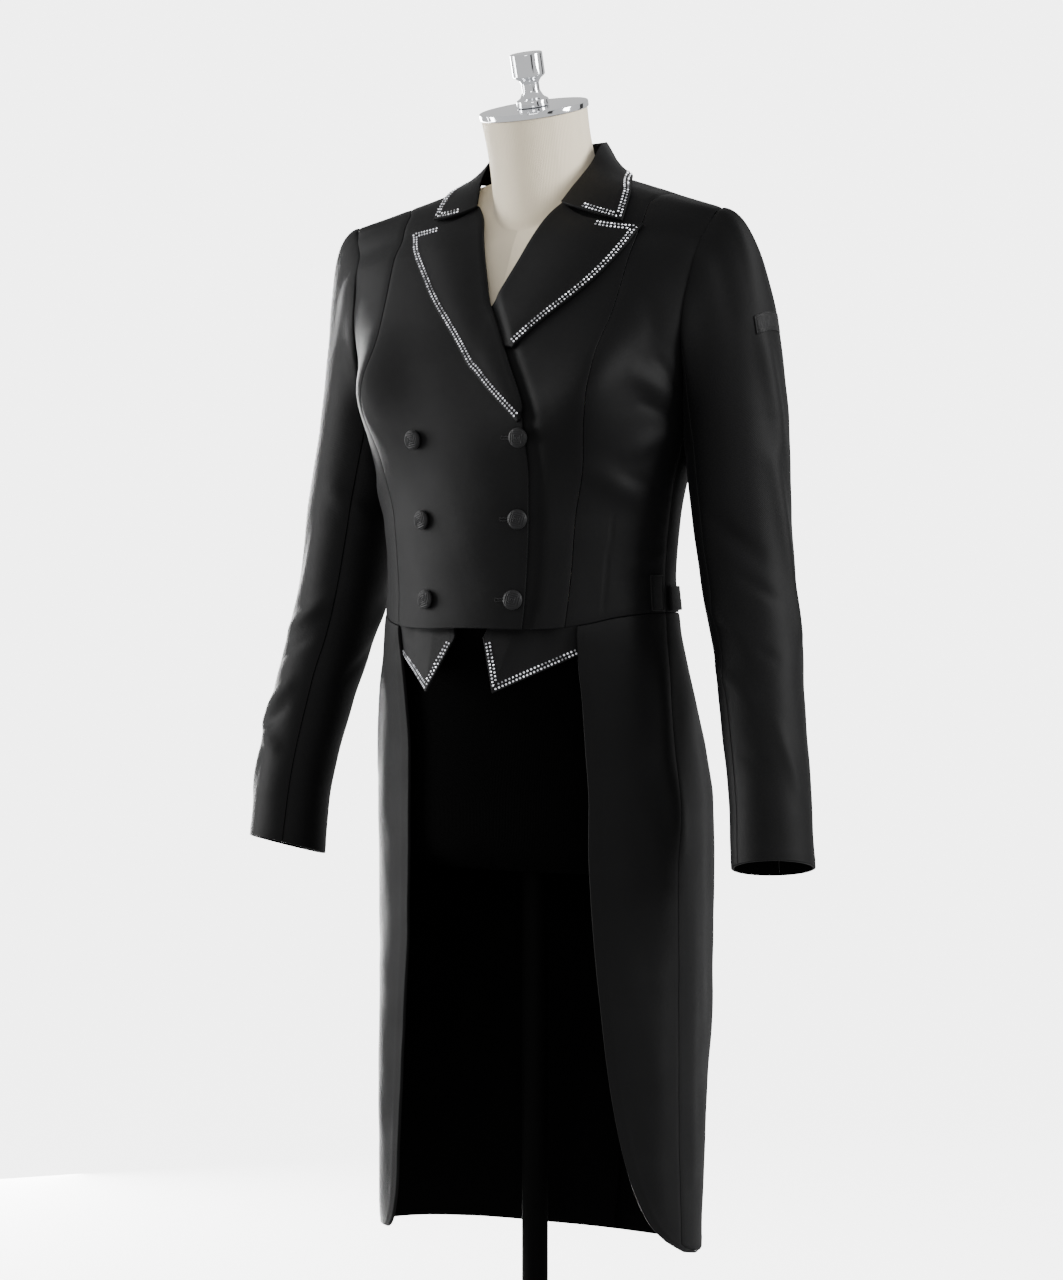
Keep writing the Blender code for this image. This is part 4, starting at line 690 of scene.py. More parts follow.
def cut_of(points):
    """The flat cut of a cloth face: its widest row, its longest column and its area."""
    edge_a = points[1:, :-1] - points[:-1, :-1]
    edge_b = points[:-1, 1:] - points[:-1, :-1]
    edge_c = points[1:, 1:] - points[:-1, 1:]
    edge_d = points[1:, 1:] - points[1:, :-1]
    area = 0.5 * (np.linalg.norm(np.cross(edge_a, edge_b), axis=-1).sum()
                  + np.linalg.norm(np.cross(edge_c, edge_d), axis=-1).sum())
    width = arc_lengths(points)[:, -1].max()
    length = arc_lengths(points.swapaxes(0, 1))[:, -1].max()
    return width, length, area


def cloth_shell(name, node, outer, normal, finishes, slot, held, rests_on, wall=WALL):
    """A cloth piece on its own points. The size of its flat cut is measured here but not used."""
    inner = outer - normal * wall
    spread_uv = np.stack([arc_lengths(outer) + 0.011 * len(name),
                          arc_lengths(outer.swapaxes(0, 1)).T], axis=-1)
    mesh = shell_mesh(name, outer, inner, spread_uv, finishes)
    piece = add_piece(name, mesh, slot, *([node] if node else []))
    width, length, area = cut_of(outer)
    return piece


def wool(node, face, held, rests_on, wall=WALL):
    """A piece of the coat's own cloth, from the points and normals of its outer face."""
    cloth_shell(node + "_cloth", node, *face, [coat_cloth(), inside_cloth_painted_shade()], "black_wool", held,
                rests_on, wall)


def even_levels(low, high, count, angle):
    """Levels from low to high that are evenly far apart on the cloth, closer at both ends."""
    dense = np.linspace(low, high, 400)
    length = arc_lengths(body_point(np.full(400, angle), dense))
    distances = edge_spread(length[-1], count)
    return np.interp(distances, length, dense), distances, length[-1]


def waist_shift(angle, level):
    dip = read_table(WAIST_LINE, "level", angle) - WAIST_LEVEL
    return dip * smooth_step(1 - (level - WAIST_LEVEL) / 0.040)


def waist_shift_down(angle, level):
    dip = read_table(WAIST_LINE, "level", angle) - WAIST_LEVEL
    return dip * smooth_step((level - (WAIST_LEVEL - 0.060)) / 0.060)


def neck_shift(angle, level):
    dip = read_table(NECKLINE, "level", angle) - SHOULDER_LEVEL
    share = (level - NECK_BLEND_LEVEL) / (SHOULDER_LEVEL - NECK_BLEND_LEVEL)
    return np.where(angle > NECKLINE[0].angle, dip * np.maximum(share, 0.0), 0.0)


def hem_shift(side, angle, level):
    """The hem as it hangs: lower at the back, and a little short at the wearer's right front."""
    near_hem = smooth_step(1 - (level - HEM_LEVEL) / HEM_RUN)
    back = HEM_BACK_DROP * smooth_step((angle - 110.0) / 60.0)
    front = HEM_RIGHT_RISE * smooth_step((130.0 - angle) / 60.0) if side == RIGHT else 0.0
    return (front - back) * near_hem


def left_front_tuck(angle, level):
    """How deep a left piece lies under the right front, easing out beside its edge."""
    edge = -seam_angle(FRONT_EDGE, level)
    under = (edge - angle) * metres_per_degree(angle, level)
    return TUCK_DEPTH * smooth_step((under + TUCK_RUN) / (TUCK_RUN - TUCK_LEAD))


def vent_tuck(angle, level):
    lap = VENT_LAP / metres_per_degree(170.0, level)
    under = (angle - (180.0 - lap / 2)) * metres_per_degree(170.0, level)
    return (WALL + LAP_GAP) * smooth_step((under + VENT_RUN) / (VENT_RUN - TUCK_LEAD))


Panel = namedtuple("Panel", "side inner outer low high columns rows edges shift sink")


def coat_panel(panel):
    """Points and normals of one panel of the coat."""
    probe = np.linspace(panel.low, panel.high, 9)
    middle = float(np.mean((panel.inner(probe) + panel.outer(probe)) / 2))
    levels, up, height = even_levels(panel.low, panel.high, panel.rows, middle)
    inner, outer = panel.inner(levels), panel.outer(levels)
    width = (outer - inner) * metres_per_degree((inner + outer) / 2, levels) - SEAM
    across = edge_spread(np.maximum(width, 0.0005), panel.columns)
    share = (across + SEAM / 2) / (width[:, None] + SEAM)
    angle = inner[:, None] + (outer - inner)[:, None] * share
    row = np.broadcast_to(levels[:, None], angle.shape)
    level = np.minimum(row + panel.shift(panel.side, angle, row), SHOULDER_LEVEL - RIDGE_TUCK)
    lift = -edge_sink(panel.edges, across, width[:, None], up[:, None], height)
    if panel.sink:
        lift = lift - panel.sink(angle, level)
    return on_coat(panel.side, angle, level, lift)


def bodice_shift(side, angle, level):
    return waist_shift(angle, level) + neck_shift(angle, level)


def tail_shift(side, angle, level):
    return waist_shift_down(angle, level) + hem_shift(side, angle, level)


def read_seam(rows):
    def angle_at(level):
        return seam_angle(rows, level)
    return angle_at


def tail_edge(word):
    def angle_at(level):
        return read_table(TAIL_EDGE, word, level)
    return angle_at


def allowance(level):
    """The turning of a panel that runs on under the sleeve, in degrees."""
    low, high = TURNING_LEVELS
    inside = smooth_step((level - low) / TURNING_RISE) * smooth_step((high - level) / TURNING_FALL)
    return TURNING_WIDTH * inside / metres_per_degree(75.0, level)


def switched(low_seam, armhole, level_of_change, turning):
    """A seam up to a level, and above it the armhole with its turning under the sleeve."""
    def angle_at(level):
        level = np.asarray(level, float)
        above = seam_angle(armhole, level) + turning * allowance(level)
        return np.where(level <= level_of_change, seam_angle(low_seam, level), above)
    return angle_at


def front_edge_inside(level):
    """The front's own edge: drawn back a little where the lapel rolls round it."""
    start = LAPEL_SPAN["right"].roll_start
    hidden = smooth_step((np.asarray(level) - start) / ROLL_HIDE_RUN)
    return seam_angle(FRONT_EDGE, level) + hidden * ROLL_DRAWN_BACK / metres_per_degree(0.0, level)


def tail_seam(word):
    def angle_at(level):
        return np.maximum(seam_angle(SIDE_SEAM, level),
                          read_table(TAIL_EDGE, word, level) + TAIL_LEAST_ANGLE)
    return angle_at


def vent_edge(level):
    return 180.0 + VENT_LAP / metres_per_degree(170.0, level) / 2


class Value:
    """A shader socket that takes part in plain arithmetic."""

    def __init__(self, shader, socket):
        self.shader = shader
        self.socket = socket

    def maths(self, operation, other=None):
        return self.shader.maths(operation, self, other)

    def __add__(self, other):
        return self.maths("ADD", other)

    def __mul__(self, other):
        return self.maths("MULTIPLY", other)

    def __sub__(self, other):
        return self.maths("SUBTRACT", other)

    def __pow__(self, other):
        return self.maths("POWER", other)

    def wave(self, pitch):
        """A sine of this pitch, from -1 to 1."""
        return (self * (2 * pi / pitch)).maths("SINE")


class Shader:
    """A node material with one main surface."""

    def __init__(self, name, **settings):
        self.material = bpy.data.materials.new(name)
        self.material.use_nodes = True
        self.tree = self.material.node_tree
        self.surface = self.tree.nodes["Principled BSDF"]
        for socket, value in settings.items():
            self.surface.inputs[socket.replace("_", " ")].default_value = value
        colour = settings.get("Base_Color")
        if colour:
            self.material.diffuse_color = colour

    def plug(self, socket, value):
        if isinstance(value, Value):
            self.tree.links.new(value.socket, socket)
        elif value is not None:
            socket.default_value = value

    def node(self, kind, settings=None, out=0, **sockets):
        """Any node: its settings first, then the values or links of its sockets."""
        made = self.tree.nodes.new(kind)
        for setting, value in (settings or {}).items():
            setattr(made, setting, value)
        for name, value in sockets.items():
            key = int(name[1:]) if name[1:].isdigit() else name.replace("_", " ")
            self.plug(made.inputs[key], value)
        return Value(self, made.outputs[out])

    def maths(self, operation, first, second=None):
        return self.node("ShaderNodeMath", {"operation": operation}, i0=first, i1=second)

    def cloth_uv(self):
        """Distances across and up the cloth, in metres."""
        uv = self.node("ShaderNodeUVMap", {"uv_map": "cloth_metres"})
        split = self.node("ShaderNodeSeparateXYZ", i0=uv)
        return split, Value(self, split.socket.node.outputs[1])

    def place(self):
        """The point in the frame, in metres: every piece's origin is the frame's."""
        return self.node("ShaderNodeTexCoord", out=3)

    def noise(self, scale, detail=3.0, rough=0.55, at=None):
        return self.node("ShaderNodeTexNoise", Vector=at or self.place(), Scale=scale,
                         Detail=detail, Roughness=rough)

    def mix(self, factor, first, second):
        return self.node("ShaderNodeMix", {"data_type": "RGBA"}, out=2, i0=factor, i6=first,
                         i7=second)

    def feed(self, name, value):
        self.plug(self.surface.inputs[name], value)
        return self

    def bump(self, height, distance, strength=1.0, normal=None):
        return self.node("ShaderNodeBump", Height=height, Distance=distance, Strength=strength,
                         Normal=normal)


def rgba(colour, scale=1.0):
    return (colour[0] * scale, colour[1] * scale, colour[2] * scale, 1.0)


@lru_cache(maxsize=None)
def coat_cloth():
    """Fine black twill with a dry face: steep twill lines, slubs, and a little bloom."""
    settings = coat()
    cloth = Shader("black_twill", Base_Color=rgba(settings.cloth_colour), Sheen_Weight=0.015,
                   Sheen_Roughness=0.42, Sheen_Tint=(0.75, 0.76, 0.80, 1.0),
                   Specular_IOR_Level=0.13, IOR=1.46)
    across, up = cloth.cloth_uv()
    pitch = settings.weave_pitch
    twill = (across + up * 0.55).wave(pitch)
    threads = across.wave(pitch * 0.5) * up.wave(pitch * 0.62)
    slub = cloth.noise(900.0, 2.0)
    patchy = cloth.noise(26.0, 4.0, 0.6)
    height = twill * 0.55 + threads * 0.3 + slub * 0.5
    shade = patchy * 0.30 + (twill * 0.06 + 0.85) + (slub - 0.5) * 0.25
    dark, light = rgba(settings.cloth_colour, 0.55), rgba(settings.cloth_colour, 1.35)
    cloth.feed("Base Color", cloth.mix(shade * 0.5, dark, light))
    cloth.feed("Roughness", (patchy - 0.5) * 0.10 + (slub - 0.5) * 0.08 + settings.cloth_roughness)
    soft = cloth.bump(patchy, 0.0009, 0.35)
    cloth.feed("Normal", cloth.bump(height, 0.00010, 0.40, soft))
    return cloth.material


@lru_cache(maxsize=None)
def inside_cloth_painted_shade():
    """The inner face of the coat: deep black, smooth and dull. Its deep black is painted shade, far
    darker than the outer cloth.
    """
    # Painted shade: the inner face takes 0.30 of the cloth's colour, so the inside of the tails
    # reads as deep shade.
    colour = rgba(coat().cloth_colour, 0.30)
    cloth = Shader("inside_black_painted_shade", Base_Color=colour, Specular_IOR_Level=0.04)
    across, up = cloth.cloth_uv()
    rib = across.wave(coat().weave_pitch * 0.7)
    blotch = cloth.noise(30.0, 3.0)
    cloth.feed("Base Color", cloth.mix(blotch, rgba(coat().cloth_colour, 0.22), colour))
    cloth.feed("Roughness", blotch * 0.1 + 0.72)
    cloth.feed("Normal", cloth.bump(rib + up.wave(0.0006) * 0.4, 0.00006, 0.5))
    return cloth.material


@lru_cache(maxsize=None)
def tab_satin():
    """Woven black satin of the two blank tabs."""
    satin = Shader("tab_satin", Base_Color=(0.004, 0.004, 0.0045, 1.0), Roughness=0.36,
                   Specular_IOR_Level=0.16)
    across, up = satin.cloth_uv()
    lines = up.wave(0.0004) * 0.7 + across.wave(0.0011) * 0.3
    satin.feed("Base Color", satin.mix(lines * 0.5 + 0.5, (0.002, 0.002, 0.002, 1),
                                       (0.005, 0.005, 0.0055, 1)))
    satin.feed("Roughness", satin.noise(60.0) * 0.12 + 0.32)
    satin.feed("Normal", satin.bump(lines, 0.00008, 0.6))
    return satin.material


@lru_cache(maxsize=None)
def button_cord():
    """Wound silk cord of the buttons and the buttonholes' thread."""
    cord = Shader("wound_cord", Base_Color=(0.006, 0.006, 0.0065, 1.0), Roughness=0.5,
                  Sheen_Weight=0.02, Specular_IOR_Level=0.25)
    fibre = cord.noise(2400.0, 2.0)
    tone = cord.noise(160.0, 3.0)
    cord.feed("Base Color", cord.mix(tone, (0.003, 0.003, 0.0032, 1), (0.010, 0.010, 0.011, 1)))
    cord.feed("Roughness", tone * 0.2 + 0.40)
    cord.feed("Normal", cord.bump(fibre, 0.0001, 0.5))
    return cord.material


@lru_cache(maxsize=None)
def stone_glass_painted_glow():
    """Foil-backed cut stones: bright, with a little colour from stone to stone, and a painted glow
    from their emission that stands in for light caught in the stones.
    """
    stone = Shader("cut_stone_painted_glow", Metallic=0.6, Roughness=0.06, Coat_Weight=0.8, Coat_Roughness=0.02,
                   Emission_Strength=0.35)
    tone = stone.node("ShaderNodeVertexColor", {"layer_name": "stone_tone_and_glow"})
    stone.feed("Base Color", tone)
    # Painted glow: each stone emits its own tone, as if light were caught in it.
    stone.feed("Emission Color", tone)
    stone.feed("Roughness", stone.noise(700.0, 1.0) * 0.10 + 0.03)
    return stone.material


@lru_cache(maxsize=None)
def form_jersey():
    """Close cream jersey of the upper form."""
    colour = tuple(bpy.context.scene.form_settings.jersey_colour)
    jersey = Shader("cream_jersey_cover", Base_Color=rgba(colour), Sheen_Weight=0.3, Roughness=0.8)
    across, up = jersey.cloth_uv()
    ribs = across.wave(0.0016) * 0.6 + up.wave(0.0012) * across.wave(0.0008) * 0.4
    blotch = jersey.noise(18.0, 4.0)
    jersey.feed("Base Color", jersey.mix(blotch, rgba(colour, 0.93), rgba(colour, 1.04)))
    jersey.feed("Roughness", blotch * 0.12 + 0.74)
    jersey.feed("Normal", jersey.bump(ribs, 0.00022, 0.6, jersey.bump(blotch, 0.001, 0.2)))
    return jersey.material


@lru_cache(maxsize=None)
def hip_jersey():
    """Dull black jersey of the lower form. Its black is partly painted shade: set far darker than
    the coat's cloth, so the form reads as deep shade between the tails.
    """
    colour = tuple(bpy.context.scene.form_settings.hips_colour_and_shade)
    jersey = Shader("black_jersey_cover_and_shade", Base_Color=rgba(colour), Specular_IOR_Level=0.02,
                    Roughness=0.95)
    across, up = jersey.cloth_uv()
    blotch = jersey.noise(22.0, 3.0)
    jersey.feed("Base Color", jersey.mix(blotch, rgba(colour, 0.8), rgba(colour, 1.25)))
    jersey.feed("Roughness", blotch * 0.08 + 0.88)
    jersey.feed("Normal", jersey.bump(across.wave(0.0016) + up.wave(0.0012) * 0.5, 0.0002, 0.5))
    return jersey.material


@lru_cache(maxsize=None)
def bright_chrome():
    """Polished chrome with faint turning marks and a few wipe marks."""
    chrome = Shader("bright_chrome", Base_Color=(0.83, 0.84, 0.86, 1.0), Metallic=1.0)
    wiped = chrome.noise(34.0, 5.0, 0.7)
    rough = bpy.context.scene.form_settings.chrome_roughness
    chrome.feed("Base Color", chrome.mix(wiped, (0.76, 0.77, 0.79, 1), (0.88, 0.89, 0.91, 1)))
    chrome.feed("Roughness", wiped ** 2.0 * 0.16 + rough * 0.5)
    chrome.feed("Normal", chrome.bump(chrome.noise(420.0, 2.0), 0.00002, 0.4))
    return chrome.material


@lru_cache(maxsize=None)
def base_steel():
    """Brushed steel of the base plate, worn brighter and rougher in patches."""
    steel = Shader("brushed_base_steel", Base_Color=(0.62, 0.62, 0.64, 1.0), Metallic=1.0)
    split = steel.node("ShaderNodeSeparateXYZ", i0=steel.place())
    along = Value(steel, split.socket.node.outputs[1])
    stretched = steel.node("ShaderNodeCombineXYZ", i0=split * 6.0, i1=along * 420.0)
    grain = steel.noise(1.0, 3.0, 0.6, stretched)
    worn = steel.noise(9.0, 5.0, 0.65)
    steel.feed("Base Color", steel.mix(grain, (0.52, 0.52, 0.54, 1), (0.68, 0.68, 0.70, 1)))
    steel.feed("Roughness", worn * 0.22 + grain * 0.12 + 0.14)
    steel.feed("Normal", steel.bump(grain, 0.00003, 0.5))
    return steel.material


@lru_cache(maxsize=None)
def pole_paint_and_shade():
    """Matt black powder coat of the pole. Its black is partly painted shade: set darker than the
    coat's cloth, so the pole is lost in the shade between the tails.
    """
    paint = Shader("matte_black_coat_and_shade", Base_Color=(0.001, 0.001, 0.001, 1.0),
                   Specular_IOR_Level=0.04)
    orange_peel = paint.noise(1500.0, 2.0)
    blotch = paint.noise(14.0, 3.0)
    paint.feed("Base Color", paint.mix(blotch, (0.0006, 0.0006, 0.0006, 1),
                                       (0.0015, 0.0015, 0.0015, 1)))
    paint.feed("Roughness", blotch * 0.12 + 0.66)
    paint.feed("Normal", paint.bump(orange_peel, 0.00008, 0.4))
    return paint.material


class BuildBodice(bpy.types.Operator):
    """Fronts, side fronts, side backs and backs"""
    bl_idname = "tailcoat.build_bodice"
    bl_label = "Bodice"

    def execute(self, context):
        princess = read_seam(PRINCESS)
        front_outer = switched(SIDE_SEAM, ARMHOLE_FRONT, ARMPIT_LEVEL, 1)
        back_outer = switched(SIDE_SEAM, ARMHOLE_BACK, ARMPIT_LEVEL, -1)
        back_inner = switched(SIDE_BACK_SEAM, ARMHOLE_BACK, SIDE_BACK_TOP, -1)
        bottom = WAIST_LEVEL + SEAM / 2
        for side, word in SIDES:
            sink = left_front_tuck if side == LEFT else None
            panels = {
                "front": Panel(side, front_edge_inside, princess, bottom, SHOULDER_LEVEL,
                               44, 150, ("pressed", "sewn", "pressed", "sewn"), bodice_shift, sink),
                "side_front": Panel(side, princess, front_outer, bottom,
                                    SHOULDER_LEVEL, 40, 150,
                                    ("sewn", "sewn", "sewn", "sewn"), bodice_shift, None),
                "side_back": Panel(side, back_outer, back_inner, bottom, SIDE_BACK_TOP,
                                   40, 96, ("sewn", "sewn", "sewn", "plain"), bodice_shift, None),
                "back": Panel(side, back_inner, read_seam(CENTRE_BACK), bottom,
                              SHOULDER_LEVEL, 44, 150, ("sewn", "sewn", "sewn", "sewn"),
                              bodice_shift, None),
            }
            for part, panel in panels.items():
                wool(f"{word}_{part}", coat_panel(panel), "stretched", ["form_torso"])
        return {"FINISHED"}


class BuildTails(bpy.types.Operator):
    """The two cutaway tails, each of a front and a back panel"""
    bl_idname = "tailcoat.build_tails"
    bl_label = "Tails"

    def execute(self, context):
        for side, word in SIDES:
            front = Panel(side, tail_edge(word), tail_seam(word), HEM_LEVEL,
                          TAIL_TOP, 44, 140, ("pressed", "sewn", "pressed", "sewn"),
                          tail_shift, None)
            back = Panel(side, tail_seam(word), vent_edge, HEM_LEVEL, TAIL_TOP, 60,
                         140, ("sewn", "pressed", "pressed", "sewn"), tail_shift,
                         vent_tuck if side == RIGHT else None)
            for part, panel in (("skirt", front), ("back_skirt", back)):
                wool(f"{word}_{part}", coat_panel(panel), "hung", [f"{word}_side_back_cloth"])
        return {"FINISHED"}


def lapel_surface(word, across, up, lift=0.0):
    """Points and normals of a lapel's face. Across may start below 0, on the roll at its edge."""
    side = LEFT if word == "left" else RIGHT
    span = LAPEL_SPAN[word]
    across, up = np.broadcast_arrays(np.asarray(across, float), np.asarray(up, float))
    flat = np.clip(across, 0.0, 1.0)
    roll_level = span.roll_start + (span.roll_end - span.roll_start) * up
    edge_level = span.edge_start + (span.edge_end - span.edge_start) * up
    roll_angle = seam_angle(FRONT_EDGE, roll_level)
    free = smooth_step(up / 0.06)
    if side == LEFT:
        beside = 2 * SEAM / metres_per_degree(10.0, roll_level)
        free = smooth_step((roll_angle + seam_angle(FRONT_EDGE, roll_level)) / 1.6)
        roll_angle = np.maximum(roll_angle, -roll_angle + beside)
    edge_angle = seam_angle(LAPEL_EDGE[word], edge_level)
    angle = roll_angle + (edge_angle - roll_angle) * flat
    level = roll_level + (edge_level - roll_level) * flat
    level = level - LAPEL_DIP * np.sin(pi * flat ** 0.75) * up ** 6
    hump = LAPEL_ROLL_HEIGHT * 16 * (flat * (1 - flat)) ** 2 * (0.35 + 0.65 * up)
    height = LAPEL_LIFT + LAPEL_WALL + hump + lift
    if side == LEFT:
        sunk = left_front_tuck(angle, level)
        height = height + LAP_GAP * 4 * (sunk / TUCK_DEPTH) * (1 - sunk / TUCK_DEPTH) - sunk * 0.75
    normal = body_normal(angle, level)
    radius = (LAPEL_LIFT + LAPEL_WALL + WALL) / 2 * (0.15 + 0.85 * free)
    turn = np.where(across < 0, -across, 0.0)[..., None] * pi
    edge_way = unit(body_point(angle - 0.5, level) - body_point(angle, level))
    radius = (radius + lift)[..., None]
    point = body_point(angle, level) + normal * (height[..., None] - radius * (1 - np.cos(turn)))
    point = point + edge_way * radius * np.sin(turn)
    facing = unit(normal * np.cos(turn) + edge_way * np.sin(turn))
    point = point + normal * np.asarray(body_relief(side, angle, level, fine=False))[..., None]
    return to_side(side, point), to_side(side, facing)


def lapel_width(word, up):
    inner, _ = lapel_surface(word, np.zeros_like(up), up)
    outer, _ = lapel_surface(word, np.ones_like(up), up)
    return np.linalg.norm(outer - inner, axis=-1)


def make_lapel(word):
    """A lapel's shell, with the roll that wraps the front's edge as its first columns."""
    up = edge_spread(LAPEL_RUN, 110) / LAPEL_RUN
    width = lapel_width(word, up)
    across = edge_spread(np.maximum(width, 0.001), 36)
    share = across / np.maximum(width, 0.001)[:, None]
    roll = np.broadcast_to(np.linspace(-0.92, -0.08, 11), (len(up), 11))
    share = np.concatenate([roll, share[:, 6:]], axis=1)
    across = np.concatenate([roll * 0.0 + 0.01, across[:, 6:]], axis=1)
    rows = np.broadcast_to(up[:, None], share.shape)
    away = (width[:, None] - across).clip(0.0)
    sink = (pressed(away) + rolled(rows * LAPEL_RUN, EDGE_ROUND)
            + rolled((1 - rows) * LAPEL_RUN, EDGE_ROUND))
    uneven = 0.15 * ripple(share * 0.06, rows * 0.2)
    wool(f"{word}_lapel", lapel_surface(word, share, rows, -sink + uneven), "folded",
         [f"{word}_front_cloth"], LAPEL_WALL)


def roof_height(x, y):
    """Height of the coat's outer surface over points of the shoulder."""
    low = np.full(np.shape(x), ARMPIT_LEVEL)
    high = np.full(np.shape(x), SHOULDER_LEVEL)
    for _ in range(40):
        level = (low + high) / 2
        ring = {field: read_table(RINGS, field, level) for field in Ring._fields[1:]}
        middle = ring["ridge"] * (RIDGE_BACK - RIDGE_SWEEP * np.abs(x))
        ahead = y < middle
        depth = np.where(ahead, ring["front"], ring["back"])
        square = np.where(ahead, ring["front_square"], ring["back_square"])
        reach = ((np.abs(x) / ring["half"]) ** square
                 + (np.abs(y - middle) / np.maximum(depth, 1e-6)) ** square)
        low, high = np.where(reach < 1, level, low), np.where(reach < 1, high, level)
    return low - read_table(RINGS, "fall", low) * np.abs(x) / SHOULDER_HALF


def roof_slope(x, y):
    step = 0.002
    slope_x = (roof_height(x + step, y) - roof_height(x - step, y)) / (2 * step)
    slope_y = (roof_height(x, y + step) - roof_height(x, y - step)) / (2 * step)
    return np.sqrt(slope_x**2 + slope_y**2)


def under_roof(x, y):
    """Height of the form below the coat: close under the shoulder line, further off elsewhere."""
    x = np.minimum(np.abs(x), SHOULDER_HALF - 0.010)
    slope = roof_slope(x, y)
    inset = SHOULDER_INSET + (FORM_INSET - SHOULDER_INSET) * smooth_step((slope - 0.38) / 0.45)
    return roof_height(x, y) - inset * np.sqrt(1 + slope**2)


@lru_cache(maxsize=None)
def collar_columns():
    """Each named column of the collar's table, mirrored to run from its right end to its left."""
    keys, columns = [], {}
    rows = [(row, -1) for row in reversed(COLLAR["right"])] + [(row, 1) for row in COLLAR["left"]]
    for row, flip in rows:
        keys.append(flip * row.share)
        for name in ("seam", "roll", "middle", "edge"):
            x, y, *rest = getattr(row, name)
            slope = float(roof_slope(np.array(x), np.array(y)))
            over = float(roof_height(np.array(x), np.array(y))) + COLLAR_REST * sqrt(1 + slope**2)
            columns.setdefault(name, []).append((flip * x, y, rest[0] if rest else over))
    return np.array(keys), {name: np.array(points) for name, points in columns.items()}


def collar_line(name, share):
    """One of the collar's lines, read smoothly between its stations."""
    keys, columns = collar_columns()
    points = columns[name]
    slopes = np.gradient(points, axis=0) / np.gradient(keys)[:, None]
    rise = (points[2:] - points[:-2]) / (keys[2:] - keys[:-2])[:, None]
    slopes[1:-1] = rise
    return np.stack([hermite(keys, points[:, i], slopes[:, i], share) for i in range(3)], axis=-1)


def collar_plain(share, along):
    """The middle of the collar's wall: stand up to the roll, then the fall down to its edge."""
    share, along = np.broadcast_arrays(np.asarray(share, float), np.asarray(along, float))
    seam, roll, middle, edge = (collar_line(name, share)
                                for name in ("seam", "roll", "middle", "edge"))
    up = (along / STAND_SHARE)[..., None]
    t = ((along - STAND_SHARE) / (1 - STAND_SHARE))[..., None]
    stand = seam + (roll - seam) * up
    fall = (1 - t) ** 2 * roll + 2 * t * (1 - t) * middle + t * t * edge
    return np.where(t < 0, stand, fall)


def collar_middle(share, along):
    reach = 0.035
    points = [collar_plain(share, np.clip(along + offset, 0.0, 1.0))
              for offset in (-reach, 0.0, reach)]
    return (points[0] + 2 * points[1] + points[2]) / 4


def collar_surface(share, along, lift=0.0):
    """The collar's outer face and normals: share from its right end (-1) to its left (1)."""
    share, along = np.broadcast_arrays(np.asarray(share, float), np.asarray(along, float))
    step = 0.01
    round_way = (collar_middle(np.minimum(share + step, 1), along)
                 - collar_middle(np.maximum(share - step, -1), along))
    up_way = (collar_middle(share, np.minimum(along + step, 1))
              - collar_middle(share, np.maximum(along - step, 0)))
    normal = -unit(np.cross(round_way, up_way))
    normal = normal * np.sign((normal * (0.0, 0.0, 1.0)).sum(-1, keepdims=True) + 1e-9)
    return collar_middle(share, along) + normal * (WALL / 2 + np.asarray(lift)[..., None]), normal


class BuildCollar(bpy.types.Operator):
    """The collar with its stand and fall, and the two peaked lapels"""
    bl_idname = "tailcoat.build_collar"
    bl_label = "Collar and lapels"

    def execute(self, context):
        length, width = 0.38, 0.075
        round_way = edge_spread(length, 150) / length * 2 - 1
        along = edge_spread(width, 44) / width
        share, up = np.meshgrid(round_way, along)
        ends = (1 - np.abs(share)) * length / 2
        sink = (rolled(ends, EDGE_ROUND) + pressed((1 - up) * width)
                + rolled(up * width, EDGE_ROUND))
        uneven = 0.3 * ripple(share * 0.19, up * 0.08)
        wool("collar", collar_surface(share, up, -sink + uneven), "folded",
             ["right_back_cloth", "left_back_cloth"])
        for _, word in SIDES:
            make_lapel(word)
        return {"FINISHED"}


def sleeve_axis(level):
    across = read_table(SLEEVE_RINGS, "across", level)
    forward = read_table(SLEEVE_RINGS, "forward", level)
    return np.stack([across, -forward, np.asarray(level, float) + 0 * across], axis=-1)


def sleeve_ring(turn, level):
    """Points of the sleeve below the biceps: turn 0 is outward, 0.25 is forward."""
    way = unit(sleeve_axis(level - 0.01) - sleeve_axis(level + 0.01))
    tilt = smooth_step(1 - (level - CUFF_LEVEL) / CUFF_TILT_RUN)[..., None]
    way = unit(way * (1 - tilt) - CUFF_NORMAL * tilt)
    outward = np.array((1.0, 0.0, 0.0))
    outward = unit(outward - way * (way @ outward)[..., None])
    ahead = np.cross(outward, way)
    ahead = unit(ahead * -np.sign(ahead[..., 1:2]))
    radius = read_table(SLEEVE_RINGS, "radius", level)[..., None]
    spin = (2 * pi * turn)[..., None]
    return sleeve_axis(level) + radius * (np.cos(spin) * outward + np.sin(spin) * ahead)


def armhole_point(turn):
    """Points just outside the armhole seam: turn 0 at the shoulder tip, 0.5 at the armpit."""
    level = ARMPIT_LEVEL + (SHOULDER_LEVEL - ARMPIT_LEVEL) * (1 + np.cos(2 * pi * turn)) / 2
    level = np.minimum(level, SHOULDER_LEVEL - RIDGE_TUCK)
    front, back = seam_angle(ARMHOLE_FRONT, level), seam_angle(ARMHOLE_BACK, level)
    return body_point(np.where(turn % 1.0 <= 0.5, front, back), level)


